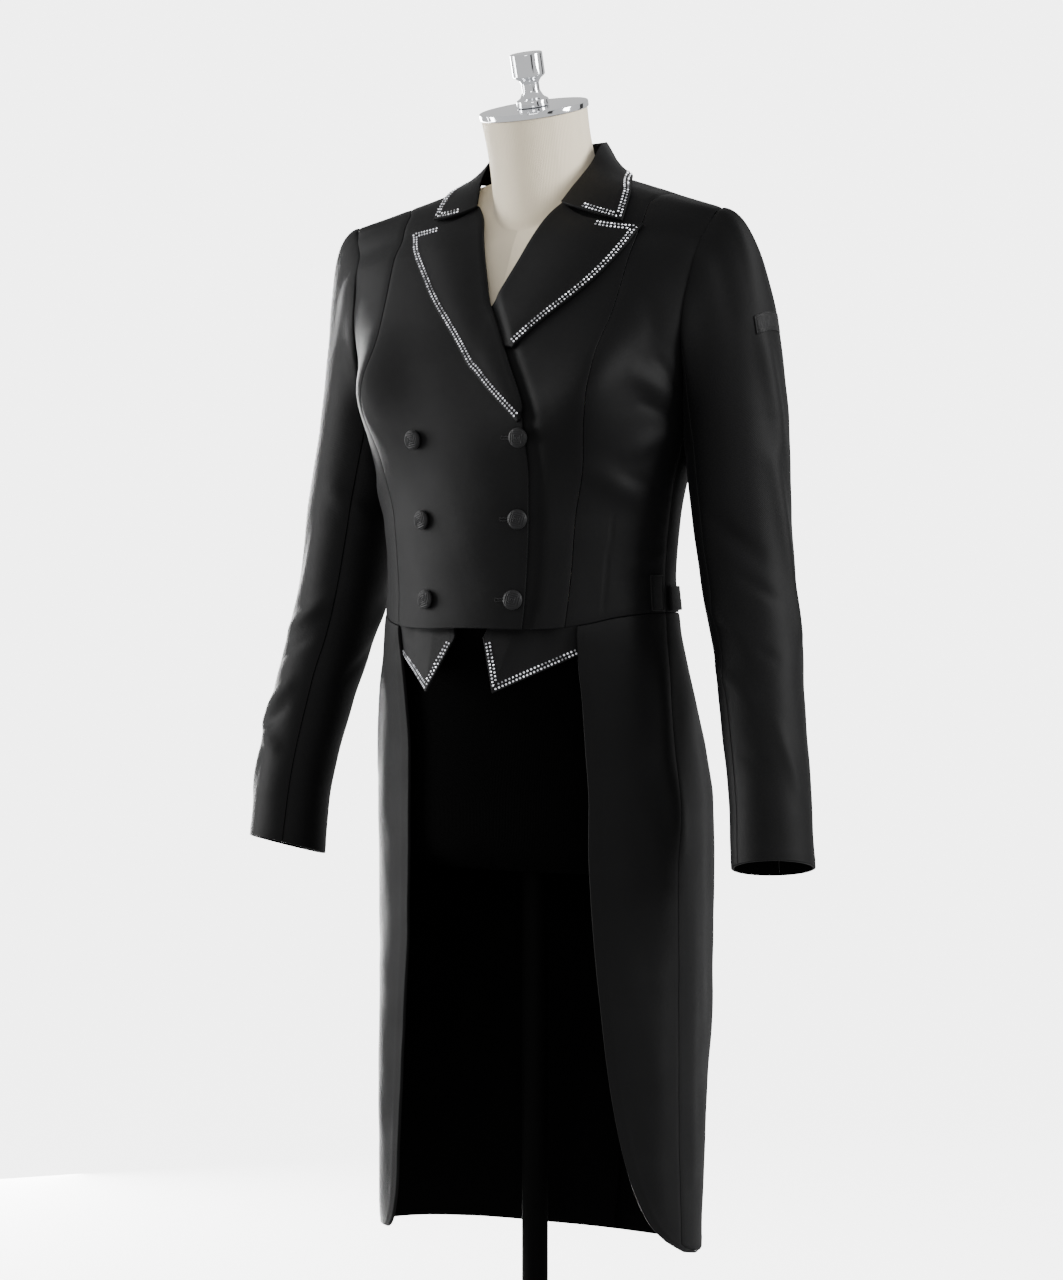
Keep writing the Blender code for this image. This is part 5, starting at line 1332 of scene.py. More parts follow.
def clear_of_body(point, clearance):
    """Push points of the sleeve out of the bodice, round the body's axis."""
    height = np.minimum(point[..., 2], ARMPIT_LEVEL)
    half = read_table(RINGS, "half", height)
    depth = np.where(point[..., 1] < 0, read_table(RINGS, "front", height),
                     read_table(RINGS, "back", height))
    square = read_table(RINGS, "front_square", height)
    reach = ((np.abs(point[..., 0]) / half) ** square
             + (np.abs(point[..., 1]) / depth) ** square) ** (1 / square)
    wanted = 1 + clearance / half
    push = np.where((point[..., 2] > ARMPIT_LEVEL + 0.004) | (reach >= wanted), 1.0, wanted / reach)
    return point * np.stack([push, push, np.ones_like(push)], axis=-1)


ARM_LENGTH = BICEPS_LEVEL - CUFF_LEVEL


def sleeve_point(turn, down):
    """The sleeve's outer face: down 0 to 1 is the head, 1 to 2 the arm from biceps to cuff."""
    turn, down = np.broadcast_arrays(np.asarray(turn, float), np.asarray(down, float))
    spin = 2 * pi * turn
    biceps = np.full(turn.shape, BICEPS_LEVEL)
    start, end = armhole_point(turn), sleeve_ring(turn, biceps)
    out_share = (1 + np.cos(spin)) / 2
    leave = unit(np.stack([0.10 + 0.90 * out_share, -0.12 * np.sin(spin), -1.0 + 0.88 * out_share],
                          axis=-1))
    start = start + leave * SEAM
    start[..., 0] += 0.0018 * (1 - out_share) ** 2
    arrive = unit(sleeve_axis(biceps - 0.01) - sleeve_axis(biceps + 0.01))
    reach = np.linalg.norm(end - start, axis=-1)[..., None]
    s = np.clip(down, 0.0, 1.0)[..., None]
    head = ((2 * s**3 - 3 * s**2 + 1) * start + (s**3 - 2 * s**2 + s) * leave * reach * HEAD_LEAVE
            + (3 * s**2 - 2 * s**3) * end
            + (s**3 - s**2) * arrive * reach * (HEAD_ARRIVE + HEAD_DROP * out_share[..., None]))
    level = BICEPS_LEVEL - ARM_LENGTH * np.clip(down - 1.0, 0.0, 1.0)
    arm = sleeve_ring(turn, level)
    clear = np.where(down <= 1.0, 0.0012 + 0.0006 * s[..., 0], 0.0020)
    return clear_of_body(np.where((down <= 1.0)[..., None], head, arm), clear)


def sleeve_relief(side, turn, level, fine=True):
    """Folds of a sleeve, in metres off its plain face."""
    total = np.zeros(np.broadcast(turn, level).shape)
    for fold in SLEEVE_FOLDS + (FINE_SLEEVE_FOLDS if fine else []):
        if fold.side == side:
            scale = 2 * pi * float(read_table(SLEEVE_RINGS, "radius", fold.level))
            around = ((turn - fold.round + 0.5) % 1.0 - 0.5) * scale
            total = total + fold_height(fold, around, level, scale)
    return total + (ripple(turn * 0.27, level) * 1.2 if fine else 0.0)


def sleeve_surface(side, turn, down, lift=0.0, fine=True):
    """Points and normals of the sleeve's outer face."""
    turn, down = np.broadcast_arrays(np.asarray(turn, float), np.asarray(down, float))
    step = 0.004
    base = sleeve_point(turn, down)
    round_way = sleeve_point(turn + step, down) - sleeve_point(turn - step, down)
    low, high = np.maximum(down - 0.01, 0.0), np.minimum(down + 0.01, 2.0)
    down_way = sleeve_point(turn, high) - sleeve_point(turn, low)
    normal = unit(np.cross(down_way, round_way))
    centre = sleeve_axis(np.clip(base[..., 2], CUFF_LEVEL, 1.18))
    away = (normal * (base - centre)).sum(-1, keepdims=True)
    normal = normal * np.where(away < 0, -1.0, 1.0)
    head = smooth_step(down / 0.5)
    height = lift + sleeve_relief(side, turn, base[..., 2], fine) * head
    return to_side(side, base + normal * np.asarray(height)[..., None]), to_side(side, normal)


class BuildSleeves(bpy.types.Operator):
    """Top sleeves and under sleeves"""
    bl_idname = "tailcoat.build_sleeves"
    bl_label = "Sleeves"

    def execute(self, context):
        rows = edge_spread(SLEEVE_HEAD_RUN + SLEEVE_ARM_RUN, 165)
        down = np.where(rows < SLEEVE_HEAD_RUN, rows / SLEEVE_HEAD_RUN,
                        1 + (rows - SLEEVE_HEAD_RUN) / SLEEVE_ARM_RUN)
        for side, word in SIDES:
            for part, first, last, columns in (
                ("top_sleeve", HINDARM_SEAM - 1.0, FOREARM_SEAM, 76),
                ("under_sleeve", FOREARM_SEAM, HINDARM_SEAM, 46),
            ):
                width = 2 * pi * SLEEVE_USUAL_RADIUS * (last - first) - SEAM
                across = edge_spread(width, columns)
                turn = first + (across + SEAM / 2) / (width + SEAM) * (last - first)
                grid_across, grid_down = np.meshgrid(across, down)
                grid_turn, grid_rows = np.meshgrid(turn, rows)
                sink = (sewn(grid_across) + sewn(width - grid_across) + sewn(grid_rows)
                        + pressed(rows[-1] - grid_rows))
                wool(f"{word}_{part}", sleeve_surface(side, grid_turn, grid_down, -sink), "hung",
                     [f"{word}_side_front_cloth", f"{word}_back_cloth"])
        return {"FINISHED"}


def vest_surface(side, across, up, lift=0.0):
    """Points and normals of a false waistcoat point: up 0 is its foot."""
    across, up = np.broadcast_arrays(np.asarray(across, float), np.asarray(up, float))
    angle = VEST_ANGLES[0] + (VEST_ANGLES[1] - VEST_ANGLES[0]) * across
    hem = read_table(WAIST_LINE, "level", angle) - 0.001
    share = np.clip((up - VEST_HIDDEN) / (1 - VEST_HIDDEN), 0.0, 1.0)
    first, last = VEST_CLEAR_ANGLES
    depth = WALL + LAP_GAP + VEST_CLEAR * smooth_step((last - angle) / (last - first))
    level = hem + (VEST_TOP_LEVEL - hem) * share
    head = body_point(angle, level) - body_normal(angle, level) * depth[..., None]
    inner, tip, outer = (np.array(VEST_POINT[key]) for key in ("inner", "tip", "outer"))
    low = (across / VEST_TIP_SHARE)[..., None]
    high = ((across - VEST_TIP_SHARE) / (1 - VEST_TIP_SHARE))[..., None]
    foot = np.where(low <= 1, inner + (tip - inner) * low, tip + (outer - tip) * high)
    down = np.clip(1 - up / VEST_HIDDEN, 0.0, 1.0)[..., None]
    normal = body_normal(angle, hem)
    point = head + (foot - head) * down + normal * np.asarray(lift)[..., None]
    return to_side(side, point), to_side(side, normal)


class BuildVest(bpy.types.Operator):
    """The two false waistcoat points and the half belt"""
    bl_idname = "tailcoat.build_vest"
    bl_label = "Waistcoat points and half belt"

    def execute(self, context):
        width, height = 0.105, 0.075
        across = edge_spread(width, 44) / width
        across[np.argmin(np.abs(across - VEST_TIP_SHARE))] = VEST_TIP_SHARE
        up = edge_spread(height, 34) / height
        grid_across, grid_up = np.meshgrid(across, up)
        for side, word in SIDES:
            sink = (pressed(grid_across * width) + pressed((1 - grid_across) * width)
                    + pressed(grid_up * height * 0.8))
            wool(f"{word}_vest_point", vest_surface(side, grid_across, grid_up, -sink), "hung",
                 [f"{word}_front_cloth"])
        self.half_belt()
        return {"FINISHED"}

    def half_belt(self):
        """One band round the back, lying on the bodice."""
        low, high = HALF_BELT_LEVELS
        height = high - low
        round_way = edge_spread(HALF_BELT_RUN, 110) / HALF_BELT_RUN
        turn = HALF_BELT_START + (360.0 - 2 * HALF_BELT_START) * round_way
        up = edge_spread(height, 12)
        grid_turn, grid_up = np.meshgrid(turn, up)
        own = np.where(grid_turn <= 180.0, grid_turn, 360.0 - grid_turn)
        ends = (own - HALF_BELT_START) * 0.0025
        lift = (LAP_GAP + WALL - pressed(grid_up) - pressed(height - grid_up)
                - rolled(ends, EDGE_ROUND))
        left, right = (on_coat(side, own, low + grid_up, lift) for side in (LEFT, RIGHT))
        on_left = (grid_turn <= 180.0)[..., None]
        face = [np.where(on_left, *pair) for pair in zip(left, right)]
        wool("half_belt", face, "stretched", ["left_back_cloth", "right_back_cloth"])


class BuildTabs(bpy.types.Operator):
    """The blank label at the side seam and the blank patch on the sleeve"""
    bl_idname = "tailcoat.build_tabs"
    bl_label = "Blank tabs"

    def execute(self, context):
        self.label()
        self.patch()
        return {"FINISHED"}

    def label(self):
        low, high = LABEL_LEVELS
        height = high - low
        width = (LABEL_ANGLES[1] - LABEL_ANGLES[0]) * float(metres_per_degree(79.0, low))
        across, up = edge_spread(width, 18), edge_spread(height, 34)
        grid_across, grid_up = np.meshgrid(across, up)
        angle = LABEL_ANGLES[0] + (LABEL_ANGLES[1] - LABEL_ANGLES[0]) * grid_across / width
        relief = TAB_WALL + tab_relief(grid_across, width, grid_up, height)
        outer, normal = on_coat(LEFT, angle, low + grid_up, LAP_GAP / 2 + relief)
        cloth_shell("side_label_satin", "side_label", outer, normal, [tab_satin()],
                    "black_satin_trim", "laid", ["left_side_front_cloth"], TAB_WALL)

    def patch(self):
        width, height = 0.040, 0.018
        across, up = edge_spread(width, 24), edge_spread(height, 16)
        grid_across, grid_up = np.meshgrid(across, up)
        turn = PATCH_TURNS[0] + (PATCH_TURNS[1] - PATCH_TURNS[0]) * grid_across / width
        down = PATCH_ROWS[0] + (PATCH_ROWS[1] - PATCH_ROWS[0]) * grid_up / height
        relief = TAB_WALL + tab_relief(grid_across, width, grid_up, height)
        outer, normal = sleeve_surface(LEFT, turn, down, LAP_GAP * 0.1 + relief)
        cloth_shell("left_sleeve_patch_satin", "left_sleeve_patch", outer, normal, [tab_satin()],
                    "black_satin_trim", "laid", ["left_top_sleeve_cloth"], TAB_WALL)


def tab_relief(across, width, up, height):
    """A tab's face: rounded at its edges, with a sewn line just inside them."""
    sides = (across, width - across, up, height - up)
    inset = np.minimum.reduce(sides)
    stitching = STITCH_DEPTH * np.exp(-(((inset - STITCH_INSET) / STITCH_WIDTH) ** 2))
    return -sum(rolled(side, TAB_ROUND) for side in sides) - stitching


def turned_faces(count, steps, closed=True):
    """Faces of a turned form: its tip, rings of points, and the point that closes it below."""
    faces = []
    for j in range(steps):
        k = (j + 1) % steps
        faces.append((0, 1 + j, 1 + k))
        if closed:
            last = 1 + (count - 1) * steps
            faces.append((1 + count * steps, last + k, last + j))
        for i in range(count - 1):
            a, b = 1 + i * steps, 1 + (i + 1) * steps
            faces.append((a + j, b + j, b + k, a + k))
    return faces


def lathe(name, profile, steps, finish, place, slot, *nodes):
    """A turned piece: its profile runs down the outer side, from the axis back to the axis."""
    radius, height = np.array(profile).T
    turn = np.linspace(0, 2 * pi, steps, endpoint=False)
    ring = np.stack([radius[:, None] * np.cos(turn), radius[:, None] * np.sin(turn),
                     height[:, None] + 0 * turn], axis=-1)[1:-1]
    points = [(0.0, 0.0, profile[0][1]), *ring.reshape(-1, 3).tolist(), (0.0, 0.0, profile[-1][1])]
    mesh = bpy.data.meshes.new(name)
    mesh.from_pydata([tuple(place @ Vector(point)) for point in points], [],
                     turned_faces(len(ring), steps))
    mesh.materials.append(finish)
    mesh.shade_smooth()
    mesh.set_sharp_from_angle(angle=radians(32))
    return add_piece(name, mesh, slot, *nodes)


def rounded(corners, radius, steps=5):
    """A profile with its inner corners rounded off."""
    points = [corners[0]]
    for before, here, after in zip(corners, corners[1:], corners[2:]):
        before, here, after = (Vector(point) for point in (before, here, after))
        reach = min(radius, (before - here).length * 0.45, (after - here).length * 0.45)
        start = here + (before - here).normalized() * reach
        end = here + (after - here).normalized() * reach
        for i in range(steps + 1):
            t = i / steps
            points.append(tuple((1 - t) ** 2 * start + 2 * t * (1 - t) * here + t * t * end))
    return points + [corners[-1]]


def button_angle(row):
    half = read_table(RINGS, "half", row.level)
    square = read_table(RINGS, "front_square", row.level)
    return float(np.degrees(np.arcsin((row.across / half) ** (square / 2))))


def button_seat(side, row):
    """Where a button sits on the right front, and the way it faces."""
    angle = button_angle(row) * (1 if side == RIGHT else -1)
    point, normal = on_coat(RIGHT, angle, row.level, LAP_GAP / 2)
    return Vector(point), Vector(normal)


class BuildButtons(bpy.types.Operator):
    """Six wound-cord buttons and the three worked buttonholes"""
    bl_idname = "tailcoat.build_buttons"
    bl_label = "Buttons"

    def execute(self, context):
        for side, word in SIDES:
            for number, row in enumerate(BUTTON_ROWS, start=1):
                self.button(f"{word}_button_{number}", *button_seat(side, row))
        for number, row in enumerate(BUTTON_ROWS, start=1):
            self.buttonhole(f"buttonhole_{number}", row)
        return {"FINISHED"}

    def button(self, name, seat, normal):
        """A dome wound with cord in nested squares, on a rounded rim."""
        radius = coat().button_radius
        rings, steps = 34, 96
        share = np.linspace(0.0, 1.0, rings)
        turn = np.linspace(0, 2 * pi, steps, endpoint=False)
        grid_share, grid_turn = np.meshgrid(share, turn, indexing="ij")
        across = grid_share * np.cos(grid_turn)
        upward = grid_share * np.sin(grid_turn)
        squares = np.maximum(np.abs(across), np.abs(upward))
        cord = np.abs(np.sin(squares * pi * CORD_TURNS)) * CORD_HEIGHT
        from_corner = (np.abs(across) - np.abs(upward)) / CORNER_WIDTH
        corners = -CORNER_DEPTH * np.exp(-from_corner ** 2)
        dome = BUTTON_HEIGHT * (0.52 + 0.40 * np.sqrt(np.maximum(0.0, 1 - grid_share**2 * 0.92)))
        height = dome + (cord + corners) * smooth_step((1.02 - grid_share) / 0.16)
        lean = Vector((0, 0, 1)).rotation_difference(normal).to_matrix()
        top = np.stack([across * radius, upward * radius, height], axis=-1)[1:]
        twist = 1 + 0.012 * np.sin(turn * 40)
        rim = np.stack([RIM_RADII[:, None] * radius * np.cos(turn) * twist,
                        RIM_RADII[:, None] * radius * np.sin(turn) * twist,
                        RIM_HEIGHTS[:, None] * BUTTON_HEIGHT + 0 * turn], axis=-1)
        ring = np.concatenate([top, rim])
        local = np.concatenate([[[0, 0, height[0, 0]]], ring.reshape(-1, 3), [[0, 0, 0]]])
        points = local @ np.array(lean).T + np.array(seat)
        mesh = bpy.data.meshes.new(name + "_cord")
        mesh.from_pydata(points.tolist(), [], turned_faces(len(ring), steps))
        mesh.materials.append(button_cord())
        mesh.shade_smooth()
        add_piece(name + "_cord", mesh, "black_cord_button", name)

    def buttonhole(self, name, row):
        """Worked stitches round a slit that runs from the button towards the centre."""
        angle = -button_angle(row)
        scale = float(metres_per_degree(angle, row.level))
        start, length = BUTTONHOLE_START, BUTTONHOLE_LENGTH
        spots = []
        for i in range(26):
            along = start + length * i / 25
            for edge in (-1, 1):
                spots.append((along, edge * BUTTONHOLE_HALF, False))
        for i in range(9):
            swing = pi * (i - 4) / 9
            spots.append((start + length + EYE_LENGTH * cos(swing), EYE_HALF * sin(swing), True))
        meshes = []
        for along, aside, eye in spots:
            point, normal = on_coat(RIGHT, angle + along / scale, row.level + aside, THREAD_LIFT)
            meshes.append((Vector(point), Vector(normal), eye))
        add_piece(name, thread_knots(name, meshes), "black_cord_button")


def thread_knots(name, spots):
    """Short raised stitches joined in one mesh."""
    profile, steps = [(0.0, 1.0), (0.62, 0.80), (1.0, 0.25), (1.0, -0.6)], 8
    points, faces = [], []
    for seat, normal, eye in spots:
        first = len(points)
        lean = Vector((0, 0, 1)).rotation_difference(normal).to_matrix()
        size = Vector(EYE_KNOT if eye else STITCH_KNOT)
        points.append(seat + lean @ Vector((0, 0, size.z)))
        for radius, height in profile[1:]:
            for j in range(steps):
                turn = 2 * pi * j / steps
                local = Vector((size.x * radius * cos(turn), size.y * radius * sin(turn),
                                size.z * height))
                points.append(seat + lean @ local)
        last = first + 1 + 2 * steps
        for j in range(steps):
            k = (j + 1) % steps
            faces.append((first, first + 1 + j, first + 1 + k))
            for i in range(2):
                a = first + 1 + i * steps
                faces.append((a + j, a + steps + j, a + steps + k, a + k))
        faces.append(tuple(reversed(range(last, last + steps))))
    mesh = bpy.data.meshes.new(name)
    mesh.from_pydata([tuple(point) for point in points], [], faces)
    mesh.materials.append(button_cord())
    mesh.shade_smooth()
    return mesh


def slopes_of(surface, across, up):
    """How a surface runs across and up, and which way it truly faces."""
    step = 0.002
    left, right = np.maximum(across - step, 0.0), np.minimum(across + step, 1.0)
    low, high = np.maximum(up - step, 0.0), np.minimum(up + step, 1.0)
    by_across = (surface(right, up, 0.0)[0] - surface(left, up, 0.0)[0]) / (right - left)[:, None]
    by_up = (surface(across, high, 0.0)[0] - surface(across, low, 0.0)[0]) / (high - low)[:, None]
    here, given = surface(across, up, 0.0)
    facing = unit(np.cross(by_across, by_up))
    facing = facing * np.sign((facing * given).sum(-1, keepdims=True))
    return here, by_across, by_up, facing


def parallel_row(surface, across, up, offset, others):
    """A line on a surface, set in by an offset from one edge and kept as far from the others."""
    across, up = np.array(across, float), np.array(up, float)
    edge, _, _, facing = slopes_of(surface, across, up)
    inward = unit(np.cross(facing, np.gradient(edge, axis=0)))
    middle = surface(np.array([0.5]), np.array([0.5]), 0.0)[0][0]
    inward = inward * np.sign(((middle - edge) * inward).sum(-1).mean())
    target = edge + inward * offset
    for _ in range(5):
        here, by_across, by_up, _ = slopes_of(surface, across, up)
        miss = target - here
        aa, bb = (by_across**2).sum(-1), (by_up**2).sum(-1)
        ab = (by_across * by_up).sum(-1)
        ma, mb = (miss * by_across).sum(-1), (miss * by_up).sum(-1)
        spread = np.maximum(aa * bb - ab**2, 1e-18)
        across = np.clip(across + (ma * bb - mb * ab) / spread, 0.0, 1.0)
        up = np.clip(up + (mb * aa - ma * ab) / spread, 0.0, 1.0)
    points, _, _, facing = slopes_of(surface, across, up)
    keep = np.linalg.norm(target - points, axis=-1) < STONE_MISS
    for other in others:
        away = np.linalg.norm(points[:, None] - other[None], axis=-1).min(axis=1)
        keep &= away >= offset * 0.97
    return points[keep] + facing[keep] * STONE_GLUE, facing[keep]


def spaced(points, normals, pitch, start=0.0, end=0.0):
    """Spots at an even pitch along a line of points, with the normals there."""
    length = arc_lengths(points)
    usable = length[-1] - start - end
    count = max(int(usable / pitch), 1)
    at = start + usable * (np.arange(count) + 0.5) / count
    spot = np.stack([np.interp(at, length, points[:, i]) for i in range(3)], axis=-1)
    facing = np.stack([np.interp(at, length, normals[:, i]) for i in range(3)], axis=-1)
    return spot, unit(facing)


def stone_mesh(name, spots, normals, seed):
    """Round cut stones: a flat table, a crown of facets and a girdle, all in one mesh."""
    settings = coat()
    girdle = settings.stone_diameter / 2
    table, tall, sides = girdle * 0.52, girdle * 0.78, 8
    draw = np.random.default_rng(seed)
    points, faces, tones_and_glows = [], [], []
    for spot, normal in zip(spots, normals):
        lean = np.array(Vector((0, 0, 1)).rotation_difference(Vector(normal)).to_matrix())
        tip = draw.normal(0.0, 0.05, 2)
        spin = draw.uniform(0, 2 * pi)
        turn = spin + 2 * pi * np.arange(sides) / sides
        half_turn = turn + pi / sides
        rings = [
            (table, tall, turn), (girdle * 0.80, tall * 0.62, half_turn),
            (girdle, tall * 0.22, turn), (girdle, 0.0, turn), (girdle * 0.96, -tall * 0.35, turn),
        ]
        first = len(points)
        for radius, height, angles in rings:
            ring = np.stack([radius * np.cos(angles), radius * np.sin(angles),
                             height + 0 * angles], axis=-1)
            ring[:, 2] += ring[:, 0] * tip[0] + ring[:, 1] * tip[1]
            points.extend((ring @ lean.T + spot).tolist())
        a, b, c, d, e = (first + sides * i for i in range(5))
        faces.append(tuple(a + j for j in range(sides)))
        faces.append(tuple(e + j for j in reversed(range(sides))))
        for j in range(sides):
            k = (j + 1) % sides
            faces += [(a + j, b + j, a + k), (b + j, b + k, a + k), (b + j, c + j, c + k),
                      (b + j, c + k, b + k), (c + j, d + j, d + k, c + k),
                      (d + j, e + j, e + k, d + k)]
        # A stone's tone is its colour and also the strength of its painted glow.
        bright = draw.choice(STONE_TONES_AND_GLOWS, p=TONE_SHARES)
        tones_and_glows.append((bright * 0.93, bright * 0.94, bright * 1.0, 1.0))
    mesh = bpy.data.meshes.new(name)
    mesh.from_pydata(points, [], faces)
    layer = mesh.color_attributes.new(name="stone_tone_and_glow", type="FLOAT_COLOR", domain="POINT")
    per_point = np.repeat(np.array(tones_and_glows), sides * 5, axis=0)
    layer.data.foreach_set("color", per_point.astype(np.float32).ravel())
    mesh.materials.append(stone_glass_painted_glow())
    return mesh


class BuildStones(bpy.types.Operator):
    """Two rows of cut stones along the lapels, the collar and the waistcoat points"""
    bl_idname = "tailcoat.build_stones"
    bl_label = "Stone trim"

    def execute(self, context):
        for number, (_, word) in enumerate(SIDES):
            self.add(f"{word}_lapel_stones", self.lapel_lines(word), 11 + number)
        self.add("collar_stones", self.collar_lines(), 17)
        for number, (side, word) in enumerate(SIDES):
            self.add(f"{word}_vest_point_stones", self.vest_lines(side), 23 + number)
        return {"FINISHED"}

    def offsets(self):
        settings = coat()
        first = settings.stone_edge_gap
        return first, first + settings.stone_row_gap

    def add(self, name, lines, seed):
        pitch = coat().stone_pitch
        found = [spaced(points, normals, pitch, start, end)
                 for points, normals, start, end in lines]
        spots = np.concatenate([spot for spot, _ in found])
        normals = np.concatenate([normal for _, normal in found])
        add_piece(name, stone_mesh(name, spots, normals, seed), "black_satin_trim")

    def lines(self, surface, edges):
        """Both rows along each edge. An edge is a line of places on the surface."""
        drawn = [surface(across, up, 0.0)[0] for across, up in edges]
        found = []
        for offset in self.offsets():
            for number, (across, up) in enumerate(edges):
                others = [line for other, line in enumerate(drawn) if other != number]
                points, normals = parallel_row(surface, across, up, offset, others)
                trim = 0.0 if number == 0 else 0.65 * coat().stone_pitch
                found.append((points, normals, 0.0, trim))
        return found

    def lapel_lines(self, word):
        def surface(across, up, lift):
            return lapel_surface(word, across, up, lift)
        low = 0.012 if word == "right" else 0.015
        edge = np.ones(240), np.linspace(low, 1.0, 240)
        gorge = np.linspace(0.46, 1.0, 110), np.ones(110)
        return self.lines(surface, [edge, gorge])

    def collar_lines(self):
        def surface(across, up, lift):
            return collar_surface(across * 2 - 1, up, lift)
        edge = np.linspace(0.0, 1.0, 500), np.ones(500)
        ends = [(np.full(70, end), np.linspace(0.60, 1.0, 70)) for end in (0.0, 1.0)]
        return self.lines(surface, [edge, *ends])

    def vest_lines(self, side):
        def surface(across, up, lift):
            return vest_surface(side, across, up, lift)
        inner = np.linspace(0.03, VEST_TIP_SHARE, 80), np.zeros(80)
        outer = np.linspace(VEST_TIP_SHARE, 0.97, 140), np.zeros(140)
        return self.lines(surface, [outer, inner])


